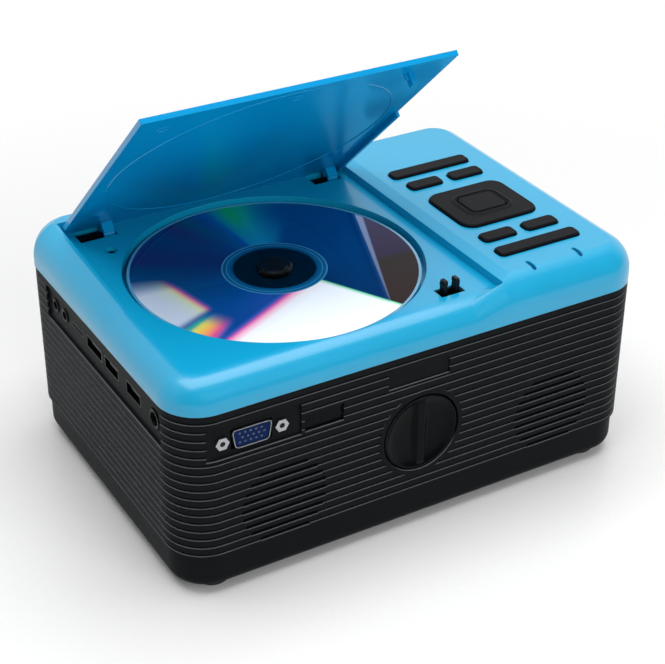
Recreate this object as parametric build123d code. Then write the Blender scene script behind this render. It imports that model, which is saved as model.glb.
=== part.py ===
from build123d import *
import os
from math import cos, pi, radians, sin, sqrt

# A table-top projector with a top-loading disc bay. Millimetres, +Z up, the feet stand on Z = 0,
# X runs along the face with the round knob (that face looks to -Y), the lid hinges at the back (+Y).

# ---------------------------------------------------------------- casing
body_w = 215.0          # across the ribs, left to right
body_d = 152.0          # across the ribs, front to back
corner_r = 17.0         # upright corners of the casing
wall = 2.6              # casing walls
top_skin = 2.4          # thickness of the top shell's horizontal skins
foot_h = 3.0
foot_r = 7.0
foot_inset = 17.5       # foot centre from the side faces
foot_inset_y = 12.8     # foot centre from the front and back faces
pan_h = 16.0            # smooth base pan
pan_inset = 1.2         # the pan stands back from the ribs
pan_edge_r = 5.0
case_h = 65.2           # ribbed band
rib_pitch = 3.777
rib_count = 17
groove_h = 1.3
groove_deep = 0.8
bay_rise = 12.8         # bay floor above the seam
step_h = 5.0            # control plateau above the bay floor
low_edge_r = 11.0
high_edge_r = 14.0
crest_cut = 0.84        # the plateau's shoulder is cut flat this far below its full round
inner_edge_r = 9.6      # the same shoulder inside the shell
lip_h = 2.6             # tongue of the top shell inside the ribbed case
lip_t = 1.6

pan_z = foot_h
case_z = pan_z + pan_h
seam_z = case_z + case_h
bay_z = seam_z + bay_rise
top_z = bay_z + step_h
front_y = -body_d / 2
back_y = body_d / 2
left_x = -body_w / 2
right_x = body_w / 2
inner_front_y = front_y + wall
inner_back_y = back_y - wall
inner_left_x = left_x + wall
inner_right_x = right_x - wall
first_groove_z = case_z + 1.0

# ---------------------------------------------------------------- disc bay and lid
bay_left_x = -96.5
bay_right_x = 38.5
bay_back_y = 61.5
rim_fade_y = -12.0      # the left rim sinks into the bay floor here
ramp_len = 15.0         # the front shoulder climbs from the bay to the plateau over this length
ramp_lid_gap = 0.3      # below the shut lid
slope_w = 5.0           # soft slope along the plateau's left edge
slope_drop = 1.4
disc_r = 60.0
disc_t = 1.2
disc_hole_r = 7.5
disc_x = -29.5
disc_y = -6.0
disc_under_bay = 2.0    # disc top below the bay floor
well_gap = 1.9          # disc to the well's wall
well_under_disc = 2.4
well_wall = 2.2
well_skin = 2.2
lid_t = 2.2
lid_gap = 0.6           # lid to the bay's side walls
lid_front_y = -69.5
lid_hinge_y = 54.5
lid_hinge_drop = 1.5    # hinge axis below the bay floor
lid_tail = 2.0          # lid plate behind the hinge axis
lid_open_deg = 43.0
skirt_h = 2.2
skirt_t = 1.6
skirt_front_y = -12.0
pin_r = 1.2
pin_play = 0.05
knuckle_r = 2.4
arm_w = 4.9
arm_x = (-76.85, 32.0)          # centre of each hinge arm
pocket_x = ((-91.0, -74.0), (21.0, 35.0))
pocket_play = 5.2               # pocket reach either side of the hinge axis
cheek_t = 2.6
spring_r = 2.1
spring_len = 9.6
switch_hole_r = 2.5
switch_hole = (-82.6, 37.1)

well_r = disc_r + well_gap
disc_top_z = bay_z - disc_under_bay
disc_z = disc_top_z - disc_t
well_z = disc_z - well_under_disc
well_base_z = well_z - well_skin
hinge_z = bay_z - lid_hinge_drop
lid_top_z = top_z
lid_under_z = lid_top_z - lid_t
lid_left_x = bay_left_x + lid_gap
lid_right_x = bay_right_x - lid_gap

# ---------------------------------------------------------------- push latch
latch_x = 20.0
latch_y = -60.0
latch_w = 11.0          # opening in the bay floor
latch_d = 6.4
latch_frame_t = 0.9
latch_depth = 15.0
latch_travel = 6.0
jaw_up = 5.4            # jaws above the bay floor when the lid is open
jaw_t = 1.8
jaw_d = 3.6
jaw_gap = 4.6           # between the jaws at their pivots
jaw_pivot_drop = 2.4    # pivots below the bay floor
striker_w = 2.6
striker_d = 3.2
striker_h = 5.2

# ---------------------------------------------------------------- keys
key_left = 4.5          # the keys stand this far left of the plateau's middle
key_col = 10.6          # pill keys either side of the column's middle
key_d = 7.0
key_r = 2.2
long_key_w = 40.0
pill_w = 16.4
rear_long_y = 30.0
rear_pill_y = 17.0
dpad_y = -11.8
dpad_w = 37.5
dpad_d = 33.5
dpad_r = 6.0
centre_w = 18.0
centre_d = 14.5
centre_r = 3.0
front_pill_y = -38.6
front_long_y = -51.7
key_up = 1.3            # key tops above the plateau
centre_up = 1.7
key_gap = 0.35
key_flange = 0.9        # flange beyond the aperture
key_flange_t = 1.2
key_travel = 0.8
key_stem_r = 2.0
key_stem_len = 1.5
switch_gap = 0.1        # stem to switch at full travel
board_t = 1.6
board_drop = 7.0        # board top below the plateau's skin
board_edge = 8.5        # key board to the casing's right and front faces
board_y1 = 44.0
pillar_r = 3.0
pillar_in = 4.0         # pillars from the board's edges
lamp_left = 13.3        # lamp windows either side of the key column's middle
lamp_right = 9.8
lamp_y = -65.7
lamp_w = 1.9
lamp_d = 6.4

key_x = (bay_right_x + right_x) / 2 - key_left
board_x0 = bay_right_x + 6.5
board_x1 = right_x - board_edge
board_y0 = front_y + board_edge
lamp_x = (key_x - lamp_left, key_x + lamp_right)

# ---------------------------------------------------------------- disc drive (turned about the hub)
drive_deg = 23.0
hub_r = 7.35
hub_up = 1.9            # hub above the disc
table_r = 16.9
table_t = 1.9
shaft_r = 1.0
shaft_play = 0.05
slot_half_w = 24.5      # opening in the well floor
slot_back = 22.0
deck_gap = 1.0
deck_top_drop = 1.0     # platform below the well floor's top
plate_under_floor = 2.2
plate_t = 2.0
plate_x0 = -34.0
plate_x1 = 68.0
plate_half_w = 32.0
window_x0 = 17.5
window_x1 = 64.5
window_half_w = 13.5
damper_r = 3.4
damper_bore = 1.6
damper_x = (-28.0, 48.0)
damper_y = 28.2
motor_r = 11.0
motor_h = 8.0
sled_len = 12.0
sled_x0 = 18.5
sled_half_w = 15.0
sled_top_gap = 0.7      # sled top below the well floor
rod_r = 1.5
rod_play = 0.05
rod_y = 12.0
rod_drop = 4.0          # rods below the plate
screw_y = 19.0
screw_drop = 5.0
feed_motor_r = 4.7
feed_motor_len = 11.0
eye_r = 3.0
eye_from_end = 5.5

plate_top_z = well_base_z - plate_under_floor
plate_z = plate_top_z - plate_t
rod_z = plate_z - rod_drop
screw_z = plate_z - screw_drop
platform_z = well_z - deck_top_drop

# ---------------------------------------------------------------- front face
knob_x = -1.4
knob_z = 45.9
knob_r = 17.2
knob_ring_r = 19.6
knob_pocket_gap = 0.5
knob_pocket_deep = 8.0
knob_back_gap = 0.3
knob_sink = 1.6
grip_w = 5.0
grip_up = 1.5
knob_shaft_r = 3.0
knob_shaft_len = 9.0
clip_r = 5.0
clip_t = 1.2
vga_x = -76.8
vga_z = 70.4
vga_panel = (-96.0, -56.0, 63.6, 77.6)   # recess: left, right, bottom, top
recess_deep = 1.3
vga_w = 16.9
vga_h = 8.4
vga_screw_pitch = 25.0
vga_up = 1.0
hex_af = 5.0
ir_window_box = (-54.6, -37.4, 64.0, 71.8)
label_box = (-17.4, 10.8, 70.6, 78.2)
grille_x = 63.5
grille_z = 35.6
grille_r = 18.5
slot_h = 1.9
speaker_r = 16.2
speaker_t = 3.0
magnet_r = 9.0
magnet_t = 11.0

# ---------------------------------------------------------------- left face sockets
port_z = 74.6
port_panel = (front_y + 15.5, back_y - 25.0, 65.8, 81.6)   # recess: front, back, bottom, top
jack_y = (43.4, 33.6)
jack_r = 3.0
jack_bore = 1.75
card_y = 20.7
card_w = 13.0
card_h = 2.0
hdmi_y = 3.6
hdmi_w = 15.0
hdmi_h = 5.6
usb_y = (-13.4, -34.0)
usb_w = 13.2
usb_h = 5.8
dc_y = front_y + 22.2
dc_r = 4.2
dc_bore = 2.75
dc_pin_r = 1.0
socket_deep = 9.0
socket_clear = 0.25
port_board_z0 = 62.0
port_board_z1 = 82.0

# ---------------------------------------------------------------- optics
axis_z = 43.0
housing_half_w = 28.0
housing_half_h = 19.5
housing_t = 2.0
housing_y0 = -32.0
housing_y1 = 48.0
led_r = 9.0
led_t = 3.0
sink_w = 44.0
sink_h = 34.0
sink_base = 3.0
sink_len = 18.0
fin_t = 1.6
fin_count = 7
optic_y = (-12.0, 0.0, 12.0)
optic_t = (2.0, 3.0, 2.0)
tube_r = 21.0
tube_bore = 18.6
tube_len = 18.5
barrel_r = 18.3
barrel_bore = 15.6
barrel_len = 22.0
barrel_back_y = 73.5
ring_r = 22.4
ring_len = 7.2
ring_gap = 0.3
lens_hole_r = 23.0
lens_y = (56.0, 69.5)
lens_t = (4.0, 5.0)

# ---------------------------------------------------------------- cooling and boards
fan_y = 18.0
fan_z = 46.0
fan_size = 50.0
fan_t = 10.0
fan_bore = 23.2
rotor_r = 22.4
rotor_hub_r = 10.0
blade_count = 7
vent_r = 22.0
main_board_box = (-92.0, -34.0, -52.0, 58.0)
power_board_box = (34.0, 88.0, -20.0, 58.0)
board_post_h = 5.0
board_post_r = 3.0
screw_r = 1.5
screw_head_r = 2.8
screw_head_t = 1.8
case_screw_x = 98.0
case_screw_y = 50.0
tab_h = 8.0
boss_r = 4.0

parts = {}
screws = []


def block(x0, x1, y0, y1, z0, z1):
    """A plain box between two corners."""
    centre = ((x0 + x1) / 2, (y0 + y1) / 2, (z0 + z1) / 2)
    return Pos(*centre) * Box(x1 - x0, y1 - y0, z1 - z0)


def upright(radius, z0, z1, x=0.0, y=0.0):
    """A cylinder standing along Z."""
    return Pos(x, y, (z0 + z1) / 2) * Cylinder(radius, z1 - z0)


def along_y(radius, y0, y1, x, z):
    """A cylinder lying along Y."""
    return Pos(x, (y0 + y1) / 2, z) * Rot(90, 0, 0) * Cylinder(radius, y1 - y0)


def along_x(radius, x0, x1, y, z):
    """A cylinder lying along X."""
    return Pos((x0 + x1) / 2, y, z) * Rot(0, 90, 0) * Cylinder(radius, x1 - x0)


def slab(width, depth, radius, z0, z1, x=0.0, y=0.0):
    """A block with rounded upright corners."""
    return Pos(x, y, z0) * extrude(RectangleRounded(width, depth, radius), z1 - z0)


def body_slab(inset, z0, z1):
    """The casing's plan shape, drawn in by an inset."""
    return slab(body_w - 2 * inset, body_d - 2 * inset, corner_r - inset, z0, z1)


def soft_top(solid, radius):
    """Rounds the outer edge of a solid's top face."""
    return fillet(solid.faces().sort_by(Axis.Z)[-1].edges(), radius)


def drive_place(solid):
    """Moves a solid from the disc drive's own frame (hub at its origin) into the casing."""
    return Pos(disc_x, disc_y, 0) * Rot(0, 0, drive_deg) * solid


def plateau_area(inset, z0, z1):
    """The part of the plan that stands at plateau height: the right side and the back strip."""
    right = block(bay_right_x + inset, right_x + 2, front_y - 2, back_y + 2, z0, z1)
    return right + block(left_x - 2, right_x + 2, bay_back_y + inset, back_y + 2, z0, z1)


def shoulder(plane, face, radius, centre_z, reach, inner):
    """A section through a rounded shoulder: the outer face, an arc that ends a reach further in,
    and the points of its inner side. The section stands on the seam, and inwards is positive."""
    def on_arc(depth):
        return (face + depth, centre_z + sqrt(radius ** 2 - (radius - depth) ** 2))

    arc = ThreePointArc((face, centre_z), on_arc(reach * 0.3), on_arc(reach))
    rest = Polyline(on_arc(reach), *inner, (inner[-1][0], seam_z), (face, seam_z), (face, centre_z))
    return plane * make_face(arc.edges() + rest.edges())


def make_shoulder_blends():
    """The left rim that sinks into the bay floor, and the front shoulder's climb to the plateau."""
    low_centre_z = bay_z - low_edge_r
    high_centre_z = top_z + crest_cut - high_edge_r
    flat_from = high_edge_r - sqrt(high_edge_r ** 2 - (high_edge_r - crest_cut) ** 2)
    rim = loft([
        shoulder(Plane.XZ.offset(-bay_back_y - 1), left_x, high_edge_r, high_centre_z, flat_from,
                 [(bay_left_x, top_z)]),
        shoulder(Plane.XZ.offset(-rim_fade_y), left_x, low_edge_r, low_centre_z, flat_from,
                 [(bay_left_x, bay_z)])], ruled=True)
    reach = lid_front_y - lid_gap - front_y
    foot = (front_y + low_edge_r, bay_z - 0.1)
    drop_z = lid_under_z - ramp_lid_gap
    ramp = loft([
        shoulder(Plane.YZ.offset(bay_right_x + 0.1), front_y, high_edge_r, high_centre_z, reach,
                 [(front_y + reach, drop_z), foot]),
        shoulder(Plane.YZ.offset(bay_right_x - ramp_len), front_y, low_edge_r, low_centre_z, reach,
                 [(front_y + reach, bay_z - 1.6), foot])], ruled=True)
    return rim + ramp


def make_top_shell():
    """The blue top with its bay, disc well, control plateau, key apertures and hinge pockets."""
    low = soft_top(body_slab(0, seam_z, bay_z), low_edge_r)
    high = soft_top(body_slab(0, seam_z, top_z + crest_cut), high_edge_r)
    high = high & plateau_area(0, seam_z, top_z)
    slope = Polyline((bay_right_x - 1, top_z - slope_drop), (bay_right_x, top_z - slope_drop),
                     (bay_right_x + slope_w, top_z), (bay_right_x + slope_w, top_z + 1),
                     (bay_right_x - 1, top_z + 1), close=True)
    high -= extrude(Plane.XZ.offset(-bay_back_y) * make_face(slope), body_d)
    outer = low + high + make_shoulder_blends()
    low_in = soft_top(body_slab(wall, seam_z - 1, bay_z - top_skin), low_edge_r - top_skin)
    high_in = soft_top(body_slab(wall, seam_z - 1, top_z - top_skin), inner_edge_r)
    inner = low_in + (high_in & plateau_area(wall, seam_z - 1, top_z))
    shell = outer - inner
    well_boss = upright(well_r + well_wall, well_base_z, bay_z, disc_x, disc_y)
    shell += well_boss & outer
    for low_x, high_x in pocket_x:
        shell += block(low_x - cheek_t, high_x + cheek_t, lid_hinge_y - pocket_play - cheek_t,
                       lid_hinge_y + pocket_play + cheek_t - 1.0, bay_z - 8.0, bay_z - 0.5)
    lip = body_slab(wall, seam_z - lip_h, seam_z + 2)
    shell += lip - body_slab(wall + lip_t, seam_z - lip_h, seam_z + 2)
    for x in (board_x0 + pillar_in, board_x1 - pillar_in):
        for y in (board_y0 + pillar_in, board_y1 - pillar_in):
            shell += upright(pillar_r, top_z - top_skin - board_drop, top_z - top_skin + 0.5, x, y)
    shell -= upright(well_r, well_z, top_z + 1, disc_x, disc_y)
    slot = block(-slot_back, well_r + 4, -slot_half_w, slot_half_w, well_base_z - 1, well_z + 1)
    shell -= drive_place(slot) & upright(well_r, well_base_z - 2, well_z + 2, disc_x, disc_y)
    for x in damper_x:
        for y in (-damper_y, damper_y):
            shell -= drive_place(upright(screw_r, well_base_z - 1, well_z - 0.4, x, y))
    for low_x, high_x in pocket_x:
        shell -= block(low_x, high_x, lid_hinge_y - pocket_play, lid_hinge_y + pocket_play,
                       bay_z - 9.0, bay_z + 0.01)
        shell -= along_x(pin_r, low_x - cheek_t + 0.4, high_x + cheek_t - 0.4, lid_hinge_y, hinge_z)
    shell -= block(latch_x - latch_w / 2, latch_x + latch_w / 2, latch_y - latch_d / 2,
                   latch_y + latch_d / 2, bay_z - 6, bay_z + 1)
    shell -= upright(switch_hole_r, bay_z - 6, bay_z + 1, *switch_hole)
    for name, x, y, width, depth, radius, up in key_list():
        if name != "centre_key":
            shell -= slab(width + 2 * key_gap, depth + 2 * key_gap, radius + key_gap,
                          top_z - top_skin - 1, top_z + 1, x, y)
    for x in lamp_x:
        shell -= slab(lamp_w, lamp_d, lamp_w / 2 - 0.01, seam_z + 8, top_z + 1, x, lamp_y)
    return shell


def key_list():
    """Name, centre, size, corner radius and height of each key."""
    keys = [("rear_long_key", key_x, rear_long_y, long_key_w, key_d, key_r, key_up)]
    for row, y in (("rear", rear_pill_y), ("front", front_pill_y)):
        for side, sign in (("left", -1), ("right", 1)):
            keys.append((f"{row}_{side}_key", key_x + sign * key_col, y, pill_w, key_d, key_r, key_up))
    keys.append(("direction_key", key_x, dpad_y, dpad_w, dpad_d, dpad_r, key_up))
    keys.append(("centre_key", key_x, dpad_y, centre_w, centre_d, centre_r, centre_up))
    keys.append(("front_long_key", key_x, front_long_y, long_key_w, key_d, key_r, key_up))
    return keys


def make_keys():
    """Each key cap with its flange under the skin and its stem over a switch."""
    skin_z = top_z - top_skin
    stem_z = skin_z - key_flange_t - key_stem_len
    seat_z = top_z + key_up - 2.2
    board_z1 = skin_z - board_drop
    switches = []
    for name, x, y, width, depth, radius, up in key_list():
        cap = slab(width, depth, radius, skin_z - key_flange_t, top_z + up, x, y)
        cap = chamfer(cap.faces().sort_by(Axis.Z)[-1].edges(), 0.5)
        spots = [(x, y)]
        if name == "centre_key":
            cap += slab(width + 1.6, depth + 1.6, radius, skin_z - key_flange_t,
                        seat_z - key_travel - 0.1, x, y)
        else:
            cap += slab(width + 2 * (key_gap + key_flange), depth + 2 * (key_gap + key_flange),
                        radius, skin_z - key_flange_t, skin_z, x, y)
        if name == "direction_key":
            hole = slab(centre_w + 2 * key_gap, centre_d + 2 * key_gap, centre_r, 0, top_z + 9, x, y)
            seat = slab(centre_w + 2.6, centre_d + 2.6, centre_r, 0, seat_z, x, y)
            cap = cap - hole - seat
            spots = [(x - dpad_w / 2 + 5, y), (x + dpad_w / 2 - 5, y),
                     (x, y - dpad_d / 2 + 5), (x, y + dpad_d / 2 - 5)]
        if name.endswith("long_key"):
            spots = [(x - 13, y), (x + 13, y)]
        for sx, sy in spots:
            cap += upright(key_stem_r, stem_z, skin_z - key_flange_t + 0.2, sx, sy)
            switches.append((sx, sy))
        parts[name] = cap
    board = block(board_x0, board_x1, board_y0, board_y1, board_z1 - board_t, board_z1)
    parts["key_board"] = board
    switch_top = stem_z - key_travel - switch_gap
    bodies = []
    for sx, sy in switches:
        bodies.append(block(sx - 2.2, sx + 2.2, sy - 2.2, sy + 2.2, board_z1, switch_top - 0.8)
                      + upright(1.6, switch_top - 1.0, switch_top, sx, sy))
    parts["tact_switches"] = Compound(children=bodies)
    lamps = [slab(lamp_w - 0.04, lamp_d - 0.04, lamp_w / 2 - 0.04, seam_z + 10.2, top_z - 1.4, x, lamp_y)
             + upright(lamp_w / 2 - 0.1, board_z1, seam_z + 11, x, lamp_y) for x in lamp_x]
    parts["indicator_windows"] = Compound(children=lamps)


def make_lid():
    """The lid is drawn shut, then turned open about its hinge axis, as the photograph shows it."""
    plate = block(lid_left_x, lid_right_x, lid_front_y, lid_hinge_y + lid_tail, lid_under_z, lid_top_z)
    lid = plate + block(lid_right_x - skirt_t, lid_right_x, skirt_front_y, lid_hinge_y - 1.0,
                        lid_under_z - skirt_h, lid_under_z)
    for x in arm_x:
        lid += block(x - arm_w / 2, x + arm_w / 2, lid_hinge_y - 3.0, lid_hinge_y + 1.5, hinge_z,
                     lid_under_z + 0.2)
        lid += along_x(knuckle_r, x - arm_w / 2, x + arm_w / 2, lid_hinge_y, hinge_z)
    lid += block(latch_x - striker_w / 2, latch_x + striker_w / 2, latch_y - striker_d / 2,
                 latch_y + striker_d / 2, lid_under_z - striker_h, lid_under_z)
    for x in arm_x:
        lid -= along_x(pin_r + pin_play, x - arm_w, x + arm_w, lid_hinge_y, hinge_z)
    open_up = Pos(0, lid_hinge_y, hinge_z) * Rot(-lid_open_deg, 0, 0) * Pos(0, -lid_hinge_y, -hinge_z)
    parts["disc_lid"] = open_up * lid
    parts["lid_hinge_pins"] = Compound(children=[
        along_x(pin_r, low_x - cheek_t + 0.4, high_x + cheek_t - 0.4, lid_hinge_y, hinge_z)
        for low_x, high_x in pocket_x])
    spring_x = pocket_x[0][0] + 0.4
    coil = along_x(spring_r, spring_x, spring_x + spring_len, lid_hinge_y, hinge_z)
    parts["lid_spring"] = coil - along_x(pin_r, spring_x - 1, spring_x + spring_len + 1,
                                         lid_hinge_y, hinge_z)
    box_z1 = bay_z - top_skin
    parts["lid_switch"] = (block(switch_hole[0] - 3, switch_hole[0] + 3, switch_hole[1] - 2.4,
                                 switch_hole[1] + 2.4, box_z1 - 6, box_z1)
                           + upright(1.0, box_z1, bay_z - 0.8, *switch_hole))


def make_latch():
    """A push latch: a fixed frame, a plunger that the lid presses down, and two jaws on it."""
    frame_z0 = bay_z - latch_depth
    inner_w = latch_w - 2 * latch_frame_t
    inner_d = latch_d - 2 * latch_frame_t
    frame = block(latch_x - latch_w / 2, latch_x + latch_w / 2, latch_y - latch_d / 2,
                  latch_y + latch_d / 2, frame_z0, bay_z - 0.6)
    frame -= block(latch_x - inner_w / 2, latch_x + inner_w / 2, latch_y - inner_d / 2,
                   latch_y + inner_d / 2, frame_z0 + 1.0, bay_z)
    parts["latch_frame"] = frame
    play = 0.3
    plunger_z1 = bay_z - jaw_pivot_drop
    plunger_z0 = frame_z0 + 1.0 + latch_travel + play
    plunger = block(latch_x - inner_w / 2 + play, latch_x + inner_w / 2 - play,
                    latch_y - inner_d / 2 + play, latch_y + inner_d / 2 - play,
                    plunger_z0, plunger_z1 - jaw_t / 2 - play)
    parts["latch_plunger"] = plunger
    pivot_z = plunger_z1
    for side, sign in (("left", -1), ("right", 1)):
        px = latch_x + sign * jaw_gap / 2
        blade = block(px - jaw_t / 2, px + jaw_t / 2, latch_y - jaw_d / 2 + play,
                      latch_y + jaw_d / 2 - play, pivot_z, bay_z + jaw_up - 1.0)
        blade += along_y(jaw_t / 2, latch_y - jaw_d / 2 + play, latch_y + jaw_d / 2 - play, px, pivot_z)
        tip_x = px - sign * 0.7
        blade += block(min(px, tip_x) - 0.5, max(px, tip_x) + 0.5, latch_y - jaw_d / 2 + play,
                       latch_y + jaw_d / 2 - play, bay_z + jaw_up - 1.8, bay_z + jaw_up)
        lean = Pos(px, 0, pivot_z) * Rot(0, sign * 6.0, 0) * Pos(-px, 0, -pivot_z)
        parts[f"latch_{side}_jaw"] = lean * blade


def make_lower_case():
    """The ribbed black band with its grilles, sockets, knob pocket and lens opening."""
    case = body_slab(0, case_z, seam_z) - body_slab(wall, case_z - 1, seam_z + 1)
    for index in range(rib_count):
        z0 = first_groove_z + index * rib_pitch
        ring = body_slab(-2, z0, z0 + groove_h) - body_slab(groove_deep, z0 - 1, z0 + groove_h + 1)
        case -= ring
    floor_y = front_y + knob_pocket_deep
    case += along_y(knob_ring_r, front_y, floor_y + 2.0, knob_x, knob_z)
    case -= along_y(knob_r + knob_pocket_gap, front_y - 1, floor_y, knob_x, knob_z)
    case -= along_y(knob_shaft_r + shaft_play, floor_y - 1, floor_y + 5, knob_x, knob_z)
    for (x0, x1, z0, z1), deep in ((vga_panel, recess_deep), (label_box, groove_deep)):
        case -= block(x0, x1, front_y - 1, front_y + deep, z0, z1)
    x0, x1, z0, z1 = ir_window_box
    case -= block(x0, x1, front_y - 1, inner_front_y + 1, z0, z1)
    case -= block(vga_x - vga_w / 2 - socket_clear, vga_x + vga_w / 2 + socket_clear, front_y - 1,
                  inner_front_y + 1, vga_z - vga_h / 2 - socket_clear, vga_z + vga_h / 2 + socket_clear)
    for sign in (-1, 1):
        case -= along_y(2.0, front_y - 1, inner_front_y + 1, vga_x + sign * vga_screw_pitch / 2, vga_z)
    case -= sound_slots(grille_x) + sound_slots(-grille_x)
    y0, y1, z0, z1 = port_panel
    case -= block(left_x - 1, left_x + recess_deep, y0, y1, z0, z1)
    for y, width, height in socket_holes():
        case -= block(left_x - 1, inner_left_x + 1, y - width / 2 - socket_clear,
                      y + width / 2 + socket_clear, port_z - height / 2 - socket_clear,
                      port_z + height / 2 + socket_clear)
    for y in jack_y:
        case -= along_x(jack_r + socket_clear, left_x - 1, inner_left_x + 1, y, port_z)
    case -= along_x(dc_r + socket_clear, left_x - 1, inner_left_x + 1, dc_y, port_z)
    case -= along_y(lens_hole_r, inner_back_y - 1, back_y + 1, 0, axis_z)
    case -= vent_slots()
    for sx in (-1, 1):
        for sy in (-1, 1):
            tab = block(case_screw_x - boss_r, inner_right_x + 0.5, case_screw_y - boss_r,
                        case_screw_y + boss_r, case_z, case_z + tab_h)
            tab -= upright(screw_r, case_z - 1, case_z + tab_h - 1, case_screw_x, case_screw_y)
            if sx < 0:
                tab = mirror(tab, Plane.YZ)
            if sy < 0:
                tab = mirror(tab, Plane.XZ)
            case += tab
    parts["lower_case"] = case


def round_slots(centre, radius, along, cut):
    """Slots in the grooves between the ribs, their ends on a circle."""
    shape = None
    for index in range(rib_count):
        middle = first_groove_z + index * rib_pitch + groove_h / 2
        off = middle - centre
        if abs(off) < radius - 2.5:
            half = sqrt(radius ** 2 - off ** 2)
            piece = cut(along - half, along + half, middle - slot_h / 2, middle + slot_h / 2)
            shape = piece if shape is None else shape + piece
    return shape


def sound_slots(x):
    """The slots of one speaker grille, through the front wall."""
    return round_slots(grille_z, grille_r, x, lambda a, b, z0, z1: block(
        a, b, front_y - 1, inner_front_y + 1, z0, z1))


def vent_slots():
    """The fan's outlet slots, through the right wall."""
    return round_slots(fan_z, vent_r, fan_y, lambda a, b, z0, z1: block(
        inner_right_x - 1, right_x + 1, a, b, z0, z1))


def socket_holes():
    """Middle, width and height of each square socket on the left face."""
    return [(card_y, card_w, card_h), (hdmi_y, hdmi_w, hdmi_h),
            (usb_y[0], usb_w, usb_h), (usb_y[1], usb_w, usb_h)]


def make_base():
    """Base pan, feet, case screws and the two boards that stand in the pan."""
    pan = body_slab(pan_inset, pan_z, case_z)
    pan = fillet(pan.faces().sort_by(Axis.Z)[0].edges(), pan_edge_r)
    pan -= body_slab(pan_inset + wall, pan_z + wall, case_z + 1)
    floor_z = pan_z + wall
    for index in range(6):
        y = -30.0 + index * 8.0
        pan -= slab(34, 3.0, 1.4, pan_z - 1, floor_z + 1, 0, y)
    for sx in (-1, 1):
        for sy in (-1, 1):
            x = sx * case_screw_x
            y = sy * case_screw_y
            pan += upright(boss_r, floor_z - 0.5, case_z, x, y)
            pan -= upright(screw_r, pan_z, case_z + 1, x, y)
            pan -= upright(screw_head_r + 0.3, pan_z - 1, pan_z + screw_head_t + 0.4, x, y)
            screws.append(upright(screw_r, pan_z + 1, case_z + tab_h - 1.2, x, y)
                          + upright(screw_head_r, pan_z + 0.4, pan_z + screw_head_t + 0.4, x, y))
    boards = {"main_board": main_board_box, "power_board": power_board_box}
    board_z = floor_z + board_post_h
    for name, (x0, x1, y0, y1) in boards.items():
        for x in (x0 + 5, x1 - 5):
            for y in (y0 + 5, y1 - 5):
                pan += upright(board_post_r, floor_z - 0.5, board_z, x, y)
        board = block(x0, x1, y0, y1, board_z, board_z + board_t)
        top = board_z + board_t
        if name == "main_board":
            board += block(x0 + 20, x0 + 36, y0 + 30, y0 + 46, top, top + 2.0)
            board += block(x0 + 12, x0 + 24, y0 + 60, y0 + 74, top, top + 1.2)
            board += block(x0 + 30, x0 + 44, y0 + 70, y0 + 80, top, top + 1.2)
        else:
            board += upright(7.0, top, top + 16, x0 + 16, y0 + 22)
            board += upright(5.0, top, top + 12, x0 + 34, y0 + 20)
            board += block(x0 + 12, x0 + 36, y0 + 40, y0 + 62, top, top + 14)
        parts[name] = board
    for x in (-housing_half_w + 6, housing_half_w - 6):
        for y in (housing_y0 + 8, housing_y1 - 8):
            pan += upright(boss_r, floor_z - 0.5, axis_z - housing_half_h, x, y)
    parts["base_pan"] = pan
    feet = []
    for sx in (-1, 1):
        for sy in (-1, 1):
            foot = upright(foot_r, 0, foot_h, sx * (right_x - foot_inset), sy * (back_y - foot_inset_y))
            feet.append(chamfer(foot.faces().sort_by(Axis.Z)[0].edges(), 0.8))
    parts["rubber_feet"] = Compound(children=feet)


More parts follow.
